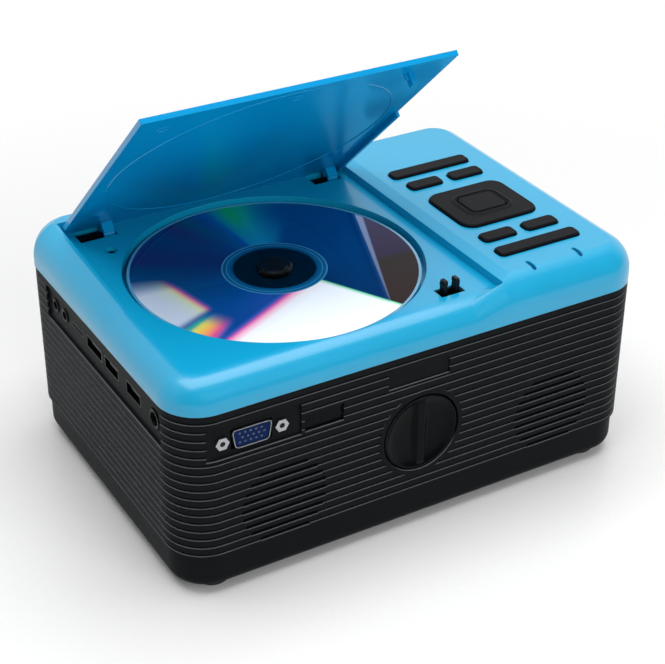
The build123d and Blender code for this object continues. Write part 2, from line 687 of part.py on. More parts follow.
def make_drive():
    """Disc, turntable, motors, chassis and the pickup on its rods."""
    disc = upright(disc_r, disc_z, disc_top_z, disc_x, disc_y)
    parts["dvd_disc"] = disc - upright(disc_hole_r, disc_z - 1, disc_top_z + 1, disc_x, disc_y)
    hub_z1 = disc_top_z + hub_up
    table = upright(table_r, disc_z - table_t, disc_z)
    hub = upright(hub_r, disc_z - 0.5, hub_z1)
    hub = chamfer(hub.faces().sort_by(Axis.Z)[-1].edges(), 0.9)
    table += hub
    table += upright(shaft_r, plate_z - motor_h + 1.5, disc_z)
    balls = []
    for index in range(3):
        turn = radians(index * 120 + 40)
        spot = ((hub_r - 0.94) * cos(turn), (hub_r - 0.94) * sin(turn), disc_top_z + 0.2)
        ball = Pos(*spot) * Sphere(1.0)
        table -= ball
        balls.append(drive_place(ball))
    parts["turntable"] = drive_place(table)
    parts["hub_balls"] = Compound(children=balls)
    platform = block(-slot_back + deck_gap, well_r, -slot_half_w + deck_gap, slot_half_w - deck_gap,
                     plate_top_z - 0.5, platform_z) & upright(well_r - deck_gap, 0, top_z)
    chassis = block(plate_x0, plate_x1, -plate_half_w, plate_half_w, plate_z, plate_top_z) + platform
    chassis -= block(window_x0, window_x1, -window_half_w, window_half_w, plate_z - 1, platform_z + 1)
    chassis -= upright(4.0, plate_z - 1, platform_z + 1)
    for x0, x1 in ((window_x0 - 3, window_x0), (window_x1, window_x1 + 3.5)):
        chassis += block(x0, x1, -rod_y - 3, screw_y + 4, screw_z - 3, plate_z + 0.5)
        for y in (-rod_y, rod_y):
            chassis -= along_x(rod_r, x0 + 1.0 if x0 < window_x0 else x0 - 1,
                               x1 + 1 if x0 < window_x0 else x1 - 1.0, y, rod_z)
        chassis -= along_x(rod_r + rod_play, x0 - 1, x1 - 0.8 if x0 > window_x0 else x1 + 1,
                           screw_y, screw_z)
    for x in damper_x:
        for y in (-damper_y, damper_y):
            chassis -= upright(damper_bore, plate_z - 1, plate_top_z + 1, x, y)
    parts["deck_chassis"] = drive_place(chassis)
    parts["guide_rods"] = Compound(children=[
        drive_place(along_x(rod_r, window_x0 - 2.0, window_x1 + 2.5, y, rod_z))
        for y in (-rod_y, rod_y)])
    dampers = []
    for x in damper_x:
        for y in (-damper_y, damper_y):
            ring = upright(damper_r, plate_top_z, well_base_z, x, y)
            dampers.append(drive_place(
                ring - upright(damper_bore, plate_top_z - 1, well_base_z + 1, x, y)))
            screws.append(drive_place(
                upright(screw_r, plate_z - 0.5, well_z - 0.6, x, y)
                + upright(screw_head_r, plate_z - screw_head_t, plate_z, x, y)))
    parts["deck_dampers"] = Compound(children=dampers)
    motor = upright(motor_r, plate_z - motor_h, plate_z) + upright(3.6, plate_z - 1, plate_top_z)
    motor -= upright(shaft_r + shaft_play, plate_z - motor_h + 1, plate_top_z + 1)
    parts["spindle_motor"] = drive_place(motor)
    sled_z1 = well_base_z - sled_top_gap
    sled = block(sled_x0, sled_x0 + sled_len, -sled_half_w, sled_half_w, screw_z - 2.6, plate_z - 0.4)
    sled += block(sled_x0, sled_x0 + sled_len, -window_half_w + 1.2, window_half_w - 1.2,
                  plate_z - 0.6, sled_z1)
    sled += block(sled_x0, sled_x0 + sled_len, sled_half_w - 0.2, screw_y + 2.8, screw_z - 2.6,
                  plate_z - 0.9)
    for y in (-rod_y, rod_y):
        sled -= along_x(rod_r + rod_play, sled_x0 - 1, sled_x0 + sled_len + 1, y, rod_z)
    sled -= along_x(rod_r + rod_play, sled_x0 - 1, sled_x0 + sled_len + 1, screw_y, screw_z)
    parts["pickup_sled"] = drive_place(sled)
    parts["pickup_lens"] = drive_place(
        upright(eye_r, sled_z1, sled_z1 + 0.5, sled_x0 + eye_from_end, 0))
    feed = along_x(rod_r, window_x0 - 3.0, window_x1 + 2.5, screw_y, screw_z)
    feed += along_x(shaft_r, window_x0 - 3.0 - feed_motor_len + 2, window_x0, screw_y, screw_z)
    parts["feed_screw"] = drive_place(feed)
    feed_motor = along_x(feed_motor_r, window_x0 - 3.0 - feed_motor_len, window_x0 - 3.0,
                         screw_y, screw_z)
    feed_motor -= along_x(shaft_r + shaft_play, window_x0 - 3.0 - feed_motor_len + 1.5,
                          window_x0 - 2.0, screw_y, screw_z)
    parts["feed_motor"] = drive_place(feed_motor)


def make_front_fittings():
    """Knob, its clip, the video socket, the receiver window and the two speakers."""
    face_y = front_y + knob_sink
    floor_y = front_y + knob_pocket_deep
    dial = along_y(knob_r, face_y, floor_y - knob_back_gap, knob_x, knob_z)
    dial = chamfer(dial.faces().sort_by(Axis.Y)[0].edges(), 0.8)
    grip = block(knob_x - grip_w / 2, knob_x + grip_w / 2, face_y - grip_up, face_y + 1,
                 knob_z - knob_r, knob_z + knob_r)
    dial += grip & along_y(knob_r - 1.0, face_y - grip_up - 1, face_y + 2, knob_x, knob_z)
    dial += along_y(knob_shaft_r, floor_y - 1, floor_y + knob_shaft_len, knob_x, knob_z)
    parts["keystone_knob"] = dial
    clip_y = floor_y + 2.0 + 0.3
    clip = along_y(clip_r, clip_y, clip_y + clip_t, knob_x, knob_z)
    parts["knob_clip"] = clip - along_y(knob_shaft_r, clip_y - 1, clip_y + clip_t + 1, knob_x, knob_z)
    face = front_y + recess_deep
    shell = block(vga_x - vga_w / 2, vga_x + vga_w / 2, face - vga_up, inner_front_y + 8,
                  vga_z - vga_h / 2, vga_z + vga_h / 2)
    flange = block(vga_x - 15.4, vga_x + 15.4, inner_front_y, inner_front_y + 1.0,
                   vga_z - 6.0, vga_z + 6.0)
    shell += flange & body_slab(wall + 0.3, case_z, seam_z)
    cavity = block(vga_x - vga_w / 2 + 0.5, vga_x + vga_w / 2 - 0.5, face - vga_up - 1,
                   inner_front_y + 7, vga_z - vga_h / 2 + 0.5, vga_z + vga_h / 2 - 0.5)
    parts["vga_shell"] = shell - cavity - screw_bores()
    insert = block(vga_x - vga_w / 2 + 0.5, vga_x + vga_w / 2 - 0.5, face - vga_up + 0.5,
                   inner_front_y + 7, vga_z - vga_h / 2 + 0.5, vga_z + vga_h / 2 - 0.5)
    for row, z_off, count in ((0, 2.0, 5), (1, 0.0, 5), (2, -2.0, 5)):
        for index in range(count):
            x = vga_x + (index - 2) * 2.29 + (1.15 if row == 1 else 0.0)
            insert -= along_y(0.4, face - vga_up, face + 2.0, x, vga_z + z_off)
    parts["vga_insert"] = insert
    nuts = []
    for sign in (-1, 1):
        x = vga_x + sign * vga_screw_pitch / 2
        head = Pos(x, face, vga_z) * Rot(90, 0, 0) * extrude(
            RegularPolygon(hex_af / sqrt(3), 6, major_radius=True), 1.1)
        nut = head + along_y(1.5, face - 0.5, inner_front_y + 1.0, x, vga_z)
        nuts.append(nut - along_y(1.1, face - 2, face + 1.2, x, vga_z))
    parts["vga_standoffs"] = Compound(children=nuts)
    x0, x1, z0, z1 = ir_window_box
    parts["receiver_window"] = block(x0, x1, front_y + recess_deep, inner_front_y, z0, z1)
    speakers = []
    for x in (-grille_x, grille_x):
        cone = along_y(speaker_r, inner_front_y, inner_front_y + speaker_t, x, grille_z)
        cone -= along_y(speaker_r - 2.5, inner_front_y - 1, inner_front_y + 1.6, x, grille_z)
        speakers.append(cone + along_y(magnet_r, inner_front_y + speaker_t - 0.5,
                                       inner_front_y + speaker_t + magnet_t, x, grille_z))
    parts["speakers"] = Compound(children=speakers)


def screw_bores():
    """The two screw holes of the video socket's flange."""
    bores = None
    for sign in (-1, 1):
        x = vga_x + sign * vga_screw_pitch / 2
        bore = along_y(1.5, inner_front_y - 1, inner_front_y + 2, x, vga_z)
        bores = bore if bores is None else bores + bore
    return bores


def make_side_fittings():
    """The sockets of the left face and the board that carries them."""
    face = left_x + recess_deep
    back = face + socket_deep
    jacks = []
    for y in jack_y:
        jack = along_x(jack_r, face - 0.3, inner_left_x, y, port_z)
        jack += block(inner_left_x, back, y - 3.4, y + 3.4, port_z - 3.4, port_z + 3.4)
        jacks.append(jack - along_x(jack_bore, face - 2, back - 1.5, y, port_z))
    parts["audio_jacks"] = Compound(children=jacks)

    def socket(y, width, height, tongue):
        """A metal shell with an open mouth and, in most, a contact tongue."""
        shape = block(face, back, y - width / 2, y + width / 2, port_z - height / 2, port_z + height / 2)
        shape -= block(face - 1, back - 1, y - width / 2 + 0.4, y + width / 2 - 0.4,
                       port_z - height / 2 + 0.4, port_z + height / 2 - 0.4)
        if tongue:
            shape += block(face + 1.2, back - 0.5, y - width / 2 + 2, y + width / 2 - 2,
                           port_z - 0.6, port_z + 0.8)
        return shape

    parts["data_sockets"] = Compound(children=[
        socket(card_y, card_w, card_h, False), socket(hdmi_y, hdmi_w, hdmi_h, True),
        socket(usb_y[0], usb_w, usb_h, True), socket(usb_y[1], usb_w, usb_h, True)])
    power = along_x(dc_r, face, inner_left_x, dc_y, port_z)
    power += block(inner_left_x, back, dc_y - 5, dc_y + 5, port_z - 5, port_z + 5)
    power -= along_x(dc_bore, face - 1, back - 1.5, dc_y, port_z)
    parts["power_jack"] = power + along_x(dc_pin_r, face + 1.0, back - 1.0, dc_y, port_z)
    parts["port_board"] = block(back, back + board_t, port_panel[0] - 3, port_panel[1], port_board_z0,
                                port_board_z1)


def make_optics():
    """Light engine from the heatsink at the front to the focus ring at the back."""
    low_z = axis_z - housing_half_h
    high_z = axis_z + housing_half_h
    housing = block(-housing_half_w, housing_half_w, housing_y0, housing_y1, low_z, high_z - housing_t)
    inside = block(-housing_half_w + housing_t, housing_half_w - housing_t, housing_y0 + housing_t,
                   housing_y1 - housing_t, low_z + housing_t, high_z)
    housing -= inside
    housing -= along_y(led_r, housing_y0 - 1, housing_y0 + housing_t + 1, 0, axis_z)
    housing += along_y(tube_r - 3.5, housing_y1 - 0.5, housing_y1 + 0.01, 0, axis_z)
    housing -= along_y(barrel_bore, housing_y1 - housing_t - 1, housing_y1 + 1, 0, axis_z)
    parts["engine_housing"] = housing
    parts["engine_cover"] = block(-housing_half_w, housing_half_w, housing_y0, housing_y1,
                                  high_z - housing_t, high_z)
    tube = along_y(tube_r, housing_y1, housing_y1 + tube_len, 0, axis_z)
    parts["lens_tube"] = tube - along_y(tube_bore, housing_y1 - 1, housing_y1 + tube_len + 1, 0, axis_z)
    panes = [block(-housing_half_w + housing_t, housing_half_w - housing_t, y - thick / 2,
                   y + thick / 2, low_z + housing_t, high_z - housing_t)
             for y, thick in zip(optic_y, optic_t)]
    parts["fresnel_lenses"] = Compound(children=[panes[0], panes[2]])
    parts["lcd_panel"] = panes[1]
    sink_y1 = housing_y0 - led_t
    lamp = along_y(led_r - 0.05, sink_y1, housing_y0 + housing_t, 0, axis_z)
    parts["led_module"] = lamp
    sink = block(-sink_w / 2, sink_w / 2, sink_y1 - sink_base, sink_y1, axis_z - sink_h / 2,
                 axis_z + sink_h / 2)
    for index in range(fin_count):
        x = -sink_w / 2 + fin_t / 2 + index * (sink_w - fin_t) / (fin_count - 1)
        sink += block(x - fin_t / 2, x + fin_t / 2, sink_y1 - sink_len, sink_y1 - sink_base + 0.5,
                      axis_z - sink_h / 2, axis_z + sink_h / 2)
    for x in (-16.0, 16.0):
        sink += along_y(2.5, sink_y1 - 1, housing_y0, x, axis_z)
    parts["heatsink"] = sink
    barrel_y0 = barrel_back_y - barrel_len
    barrel = along_y(barrel_r, barrel_y0, barrel_back_y, 0, axis_z)
    parts["lens_barrel"] = barrel - along_y(barrel_bore, barrel_y0 - 1, barrel_back_y + 1, 0, axis_z)
    elements = []
    for y, thick in zip(lens_y, lens_t):
        glass = along_y(barrel_bore, y - thick / 2, y + thick / 2, 0, axis_z)
        glass = fillet(glass.faces().sort_by(Axis.Y)[-1].edges(), 1.6)
        elements.append(glass)
    parts["lens_elements"] = Compound(children=elements)
    ring_y0 = housing_y1 + tube_len + ring_gap
    ring = along_y(ring_r, ring_y0, ring_y0 + ring_len, 0, axis_z)
    ring -= along_y(tube_bore, ring_y0 - 1, ring_y0 + ring_len + 1, 0, axis_z)
    for index in range(24):
        turn = 2 * pi * index / 24
        ring -= along_y(0.8, ring_y0 + 2, ring_y0 + ring_len + 1, ring_r * cos(turn),
                        axis_z + ring_r * sin(turn))
    parts["focus_ring"] = ring


def make_fan():
    """The exhaust fan behind the right wall's slots."""
    x1 = inner_right_x
    x0 = x1 - fan_t
    half = fan_size / 2
    frame = block(x0, x1, fan_y - half, fan_y + half, fan_z - half, fan_z + half)
    frame -= along_x(fan_bore, x0 + 2, x1 + 1, fan_y, fan_z)
    frame -= along_x(fan_bore, x0 - 1, x0 + 3, fan_y, fan_z)
    spokes = (block(x0, x0 + 1.6, fan_y - 2, fan_y + 2, fan_z - half + 1, fan_z + half - 1)
              + block(x0, x0 + 1.6, fan_y - half + 1, fan_y + half - 1, fan_z - 2, fan_z + 2))
    frame += spokes + along_x(rotor_hub_r, x0, x0 + 1.6, fan_y, fan_z)
    frame -= along_x(shaft_r + shaft_play, x0 + 0.4, x0 + 3, fan_y, fan_z)
    parts["fan_frame"] = frame
    rotor = along_x(rotor_hub_r, x0 + 2.0, x1 - 0.8, fan_y, fan_z)
    rotor += along_x(shaft_r, x0 + 0.6, x0 + 3, fan_y, fan_z)
    for index in range(blade_count):
        blade = Box(1.2, rotor_r - rotor_hub_r + 1.2, 9.0)
        blade = Rot(0, 35, 0) * blade
        blade = Pos(0, (rotor_r + rotor_hub_r) / 2 - 0.6, 0) * blade
        blade = Pos((x0 + x1) / 2 + 0.6, fan_y, fan_z) * Rot(index * 360 / blade_count, 0, 0) * blade
        ring = along_x(rotor_r, x0 + 2.2, x1 - 0.8, fan_y, fan_z)
        rotor += blade & ring
    parts["fan_rotor"] = rotor


parts["top_shell"] = make_top_shell()
make_lower_case()
make_base()
make_lid()
make_latch()
make_keys()
make_drive()
make_front_fittings()
make_side_fittings()
make_optics()
make_fan()
parts["screws"] = Compound(children=screws)

os.makedirs("parts", exist_ok=True)
for name, shape in parts.items():
    export_step(shape, f"parts/{name}.step")
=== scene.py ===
"""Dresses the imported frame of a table-top projector with a top-loading disc bay, and lights it."""

from __future__ import annotations

import logging
import math
from dataclasses import dataclass
from enum import Enum
from typing import Any, Iterable, Sequence

import bmesh
import bpy
from mathutils import Matrix, Vector

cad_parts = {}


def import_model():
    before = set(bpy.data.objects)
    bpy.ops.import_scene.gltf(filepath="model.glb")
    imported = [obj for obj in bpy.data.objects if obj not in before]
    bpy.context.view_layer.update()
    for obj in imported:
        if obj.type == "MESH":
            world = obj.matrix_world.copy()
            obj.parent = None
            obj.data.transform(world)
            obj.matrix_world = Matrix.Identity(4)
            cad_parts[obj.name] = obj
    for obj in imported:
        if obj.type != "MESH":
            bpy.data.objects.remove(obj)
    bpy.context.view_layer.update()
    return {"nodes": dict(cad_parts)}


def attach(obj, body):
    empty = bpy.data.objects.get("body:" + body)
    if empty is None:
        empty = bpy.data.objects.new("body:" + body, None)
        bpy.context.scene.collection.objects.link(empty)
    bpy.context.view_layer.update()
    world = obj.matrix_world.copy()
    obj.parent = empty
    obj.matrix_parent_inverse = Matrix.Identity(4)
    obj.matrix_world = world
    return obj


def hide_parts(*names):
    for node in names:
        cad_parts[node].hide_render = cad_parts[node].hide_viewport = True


LOG = logging.getLogger("projector")
MM = 0.001
TAU = 2 * math.pi
Point = tuple[float, float]
Edge = tuple[Point, Point]
HUB: Point = (-29.5, -6.0)
# half width, half depth and corner radius of the casing's plan, in millimetres
PLAN_MM = (107.5, 76.0, 17.0)
# depths under the skin at which a ledge's painted grey highlight has faded out, and down to which it is full
LEDGE_HIGHLIGHT_MM = (0.75, 0.45)
WHITE = (1.0, 1.0, 1.0, 1.0)


# ---------------------------------------------------------------- colours and nodes
def srgb(code: str) -> tuple[float, float, float, float]:
    """Turns an sRGB hex colour into a linear RGBA one.

    Args:
        code: six hex digits with a leading hash.

    Returns:
        The linear colour with an alpha of 1.
    """
    parts = [int(code[i:i + 2], 16) / 255 for i in (1, 3, 5)]
    linear = [v / 12.92 if v <= 0.04045 else ((v + 0.055) / 1.055) ** 2.4 for v in parts]
    return (linear[0], linear[1], linear[2], 1.0)


def add_node(tree: bpy.types.NodeTree, kind: str, settings: dict[str, Any] | None = None,
             inputs: dict[Any, Any] | None = None) -> bpy.types.Node:
    """Adds one node with its settings and links.

    Args:
        tree: the node tree that gets the node.
        kind: the node's type name, without its ShaderNode prefix.
        settings: properties of the node.
        inputs: what each input socket, by name or number, is linked to or set to.

    Returns:
        The new node.
    """
    node = tree.nodes.new("ShaderNode" + kind)
    for name, value in (settings or {}).items():
        setattr(node, name, value)
    for key, value in (inputs or {}).items():
        socket = node.inputs[key]
        if isinstance(value, bpy.types.NodeSocket):
            tree.links.new(value, socket)
        else:
            socket.default_value = value
    return node


def maths(tree: bpy.types.NodeTree, operation: str, *values: Any, clamp: bool = False) -> Any:
    """Adds a Math node.

    Args:
        tree: the node tree.
        operation: the node's operation.
        values: numbers or sockets for its inputs.
        clamp: whether the result stays within 0 to 1.

    Returns:
        The node's output socket.
    """
    node = add_node(tree, "Math", {"operation": operation, "use_clamp": clamp}, dict(enumerate(values)))
    return node.outputs[0]


def ramp(tree: bpy.types.NodeTree, factor: Any, stops: Sequence[tuple[float, Any]]) -> Any:
    """Adds a colour ramp.

    Args:
        tree: the node tree.
        factor: the socket that drives it.
        stops: positions from 0 to 1 with hex colours or grey levels.

    Returns:
        The ramp's colour socket.
    """
    node = add_node(tree, "ValToRGB", None, {"Fac": factor})
    elements = node.color_ramp.elements
    while len(elements) < len(stops):
        elements.new(1.0)
    for element, (place, value) in zip(elements, stops):
        element.position = place
        element.color = srgb(value) if isinstance(value, str) else (value, value, value, 1.0)
    return node.outputs["Color"]


def blend(tree: bpy.types.NodeTree, factor: Any, low: Any, high: Any, mode: str = "MIX") -> Any:
    """Mixes two colours.

    Args:
        tree: the node tree.
        factor: a number or socket.
        low: the colour at factor 0.
        high: the colour at factor 1.
        mode: the blend mode.

    Returns:
        The mixed colour's socket.
    """
    node = add_node(tree, "Mix", {"data_type": "RGBA", "blend_type": mode},
                    {"Factor": factor, 6: low, 7: high})
    return node.outputs[2]


def seen_by(tree: bpy.types.NodeTree, *rays: str) -> Any:
    """Tells some kinds of rays from the rest.

    Args:
        tree: the node tree.
        rays: the kinds, named as on the Light Path node.

    Returns:
        A socket that is 1 for those rays and 0 for others.
    """
    path = add_node(tree, "LightPath")
    seen = path.outputs[rays[0]]
    for ray in rays[1:]:
        seen = maths(tree, "MAXIMUM", seen, path.outputs[ray])
    return seen


def new_material(name: str) -> tuple[bpy.types.Material, bpy.types.NodeTree, bpy.types.Node]:
    """Makes a material with an empty tree and its output node.

    Args:
        name: the material's name.

    Returns:
        The material, its tree and the output node.
    """
    material = bpy.data.materials.new(name)
    material.use_nodes = True
    tree = material.node_tree
    tree.nodes.clear()
    return material, tree, add_node(tree, "OutputMaterial")


# ---------------------------------------------------------------- finishes
class Relief(Enum):
    """The fine relief that a surface was left with."""

    POLISHED = "polished mould"
    SATIN = "fine blasted mould"
    SPARKED = "spark-eroded mould"
    BRUSHED = "drawn or turned metal"


@dataclass(frozen=True)
class Plastic:
    """A moulded plastic, rubber or board.

    Attributes:
        name: the material's real name and finish.
        colour: sRGB hex colour.
        roughness: mean roughness.
        relief: how the mould left the surface.
        grain_mm: size of the relief's grain.
        depth_mm: height of that relief.
        coat: weight of a clear gloss layer.
        ior: refractive index, taken low where pits trap the mirrored light.
        edge_mm: radius at which sharp edges are seen rounded.
        shine: specular level; soot-filled, textured blacks mirror little.
        ledge_highlight: sRGB hex colour of a painted highlight on its outermost upward ledges, where light
            from above catches their edges.
    """

    name: str
    colour: str
    roughness: float = 0.4
    relief: Relief = Relief.SATIN
    grain_mm: float = 0.5
    depth_mm: float = 0.004
    coat: float = 0.0
    ior: float = 1.5
    edge_mm: float = 0.0
    shine: float = 0.5
    ledge_highlight: str = ""

    def ledges(self, tree: bpy.types.NodeTree, place: Any, rounded: Any) -> Any:
        """Masks the narrow ledges that face up, close under the outer skin, where a highlight is painted.

        Args:
            tree: the node tree.
            place: the position, in metres.
            rounded: the normal with rounded edges.

        Returns:
            The mask's socket, 1 on those ledges.
        """
        half_x, half_y, corner = (v * MM for v in PLAN_MM)
        dark, grey = (corner - v * MM for v in LEDGE_HIGHLIGHT_MM)
        folded = add_node(tree, "VectorMath", {"operation": "ABSOLUTE"}, {0: place})
        beyond = add_node(tree, "VectorMath", {"operation": "SUBTRACT"}, {
            0: folded.outputs[0], 1: (half_x - corner, half_y - corner, 1.0)})
        beyond = add_node(tree, "VectorMath", {"operation": "MAXIMUM"}, {
            0: beyond.outputs[0], 1: (0.0, 0.0, 0.0)})
        reach = add_node(tree, "VectorMath", {"operation": "LENGTH"}, {0: beyond.outputs[0]}).outputs["Value"]
        skin = add_node(tree, "MapRange", None, {
            "Value": reach, "From Min": dark, "From Max": grey}).outputs[0]
        # only ledges that face up get the painted highlight, as the light falls from above
        rise = add_node(tree, "SeparateXYZ", None, {0: rounded}).outputs["Z"]
        level = add_node(tree, "MapRange", None, {"Value": rise, "From Min": 0.3, "From Max": 0.6}).outputs[0]
        return maths(tree, "MULTIPLY", skin, level)

    def build(self) -> bpy.types.Material:
        """Builds the material.

        Returns:
            The finished material.
        """
        material, tree, output = new_material(self.name)
        place = add_node(tree, "TexCoord").outputs["Object"]
        # broad, faint flow marks of the melt, about 35 mm across
        flow = add_node(tree, "TexNoise", None, {"Vector": place, "Scale": 28.0, "Detail": 2.0}).outputs[0]
        grain = add_node(tree, "TexNoise", {"label": self.relief.value},
                         {"Vector": place, "Scale": 1 / (self.grain_mm * MM), "Detail": 3.0,
                          "Roughness": 0.6}).outputs[0]
        base = srgb(self.colour)
        darker = tuple(v * 0.90 for v in base[:3]) + (1.0,)
        colour = blend(tree, flow, darker, base)
        rough = add_node(tree, "MapRange", None,
                         {"Value": grain, "To Min": self.roughness * 0.88,
                          "To Max": min(1.0, self.roughness * 1.12)}).outputs[0]
        normal_inputs: dict[Any, Any] = {"Height": grain, "Strength": 0.6, "Distance": self.depth_mm * MM}
        if self.edge_mm:
            bevel = add_node(tree, "Bevel", {"samples": 6}, {"Radius": self.edge_mm * MM})
            normal_inputs["Normal"] = bevel.outputs[0]
            # painted highlight: the upward ledges are lightened to stand for the light their edges catch
            if self.ledge_highlight:
                colour = blend(tree, self.ledges(tree, place, bevel.outputs[0]), colour, srgb(self.ledge_highlight))
        bump = add_node(tree, "Bump", None, normal_inputs).outputs[0]
        shader = add_node(tree, "BsdfPrincipled", None, {
            "Base Color": colour, "Roughness": rough, "Normal": bump, "IOR": self.ior,
            "Coat Weight": self.coat, "Coat Roughness": 0.08, "Specular IOR Level": self.shine})
        tree.links.new(shader.outputs[0], output.inputs[0])
        return material


@dataclass(frozen=True)
class Metal:
    """A bare metal.

    Attributes:
        name: the metal's real name and finish.
        colour: sRGB hex colour.
        roughness: mean roughness.
        relief: how the surface was made.
        grain_mm: width of its scratches.
    """

    name: str
    colour: str
    roughness: float = 0.3
    relief: Relief = Relief.BRUSHED
    grain_mm: float = 0.3

    def build(self) -> bpy.types.Material:
        """Builds the material.

        Returns:
            The finished material.
        """
        material, tree, output = new_material(self.name)
        place = add_node(tree, "TexCoord").outputs["Object"]
        stretch = (1.0, 1.0, 8.0) if self.relief is Relief.BRUSHED else (1.0, 1.0, 1.0)
        mapped = add_node(tree, "Mapping", None, {"Vector": place, "Scale": stretch}).outputs[0]
        grain = add_node(tree, "TexNoise", None,
                         {"Vector": mapped, "Scale": 1 / (self.grain_mm * MM * 8), "Detail": 4.0}).outputs[0]
        rough = add_node(tree, "MapRange", None,
                         {"Value": grain, "To Min": self.roughness * 0.7,
                          "To Max": self.roughness * 1.3}).outputs[0]
        base = srgb(self.colour)
        tarnish = tuple(v * 0.82 for v in base[:3]) + (1.0,)
        colour = blend(tree, grain, tarnish, base)
        bump = add_node(tree, "Bump", None,
                        {"Height": grain, "Strength": 0.3, "Distance": 0.005 * MM}).outputs[0]
        shader = add_node(tree, "BsdfPrincipled", None, {
            "Base Color": colour, "Metallic": 1.0, "Roughness": rough, "Normal": bump})
        tree.links.new(shader.outputs[0], output.inputs[0])
        return material


@dataclass(frozen=True)
class Glass:
    """A clear polished glass or acrylic.

    Attributes:
        name: the material's real name.
        colour: sRGB hex tint.
        ior: refractive index.
        coating: sRGB hex colour of its anti-reflection coating.
    """

    name: str
    colour: str
    ior: float = 1.52
    coating: str = "#3A2A5C"

    def build(self) -> bpy.types.Material:
        """Builds the material.

        Returns:
            The finished material.
        """
        material, tree, output = new_material(self.name)
        place = add_node(tree, "TexCoord").outputs["Object"]
        haze = add_node(tree, "TexNoise", None, {"Vector": place, "Scale": 60.0}).outputs[0]
        rough = add_node(tree, "MapRange", None, {"Value": haze, "To Min": 0.01, "To Max": 0.04}).outputs[0]
        tint = blend(tree, haze, srgb(self.colour), srgb(self.coating))
        shader = add_node(tree, "BsdfPrincipled", None, {
            "Base Color": tint, "Roughness": rough, "IOR": self.ior, "Transmission Weight": 0.85})
        tree.links.new(shader.outputs[0], output.inputs[0])
        return material


@dataclass
class FilmLayers:
    """The mirror layer's look, worked out one patch over the other.

    Attributes:
        tree: the node tree.
        paint: the colour so far.
        metal: how much of it is mirror.
        painted_glow: how strongly the patches glow, a painted stand-in for the lamps' light the tracks send
            back.
    """

    tree: bpy.types.NodeTree
    paint: Any
    metal: Any
    painted_glow: Any = 0.0

    def over(self, mask: Any, colour: Any, metal: float, painted_glow: float) -> None:
        """Lays a patch over what is there.

        Args:
            mask: where the patch lies.
            colour: its colour.
            metal: how much of it is mirror.
            painted_glow: how strongly it glows, painted light that stands for what its tracks send back.
        """
        self.paint = blend(self.tree, mask, self.paint, colour)
        self.metal = blend(self.tree, mask, self.metal, (metal, metal, metal, 1.0))
        self.painted_glow = maths(self.tree, "MAXIMUM", self.painted_glow, maths(self.tree, "MULTIPLY", mask, painted_glow))


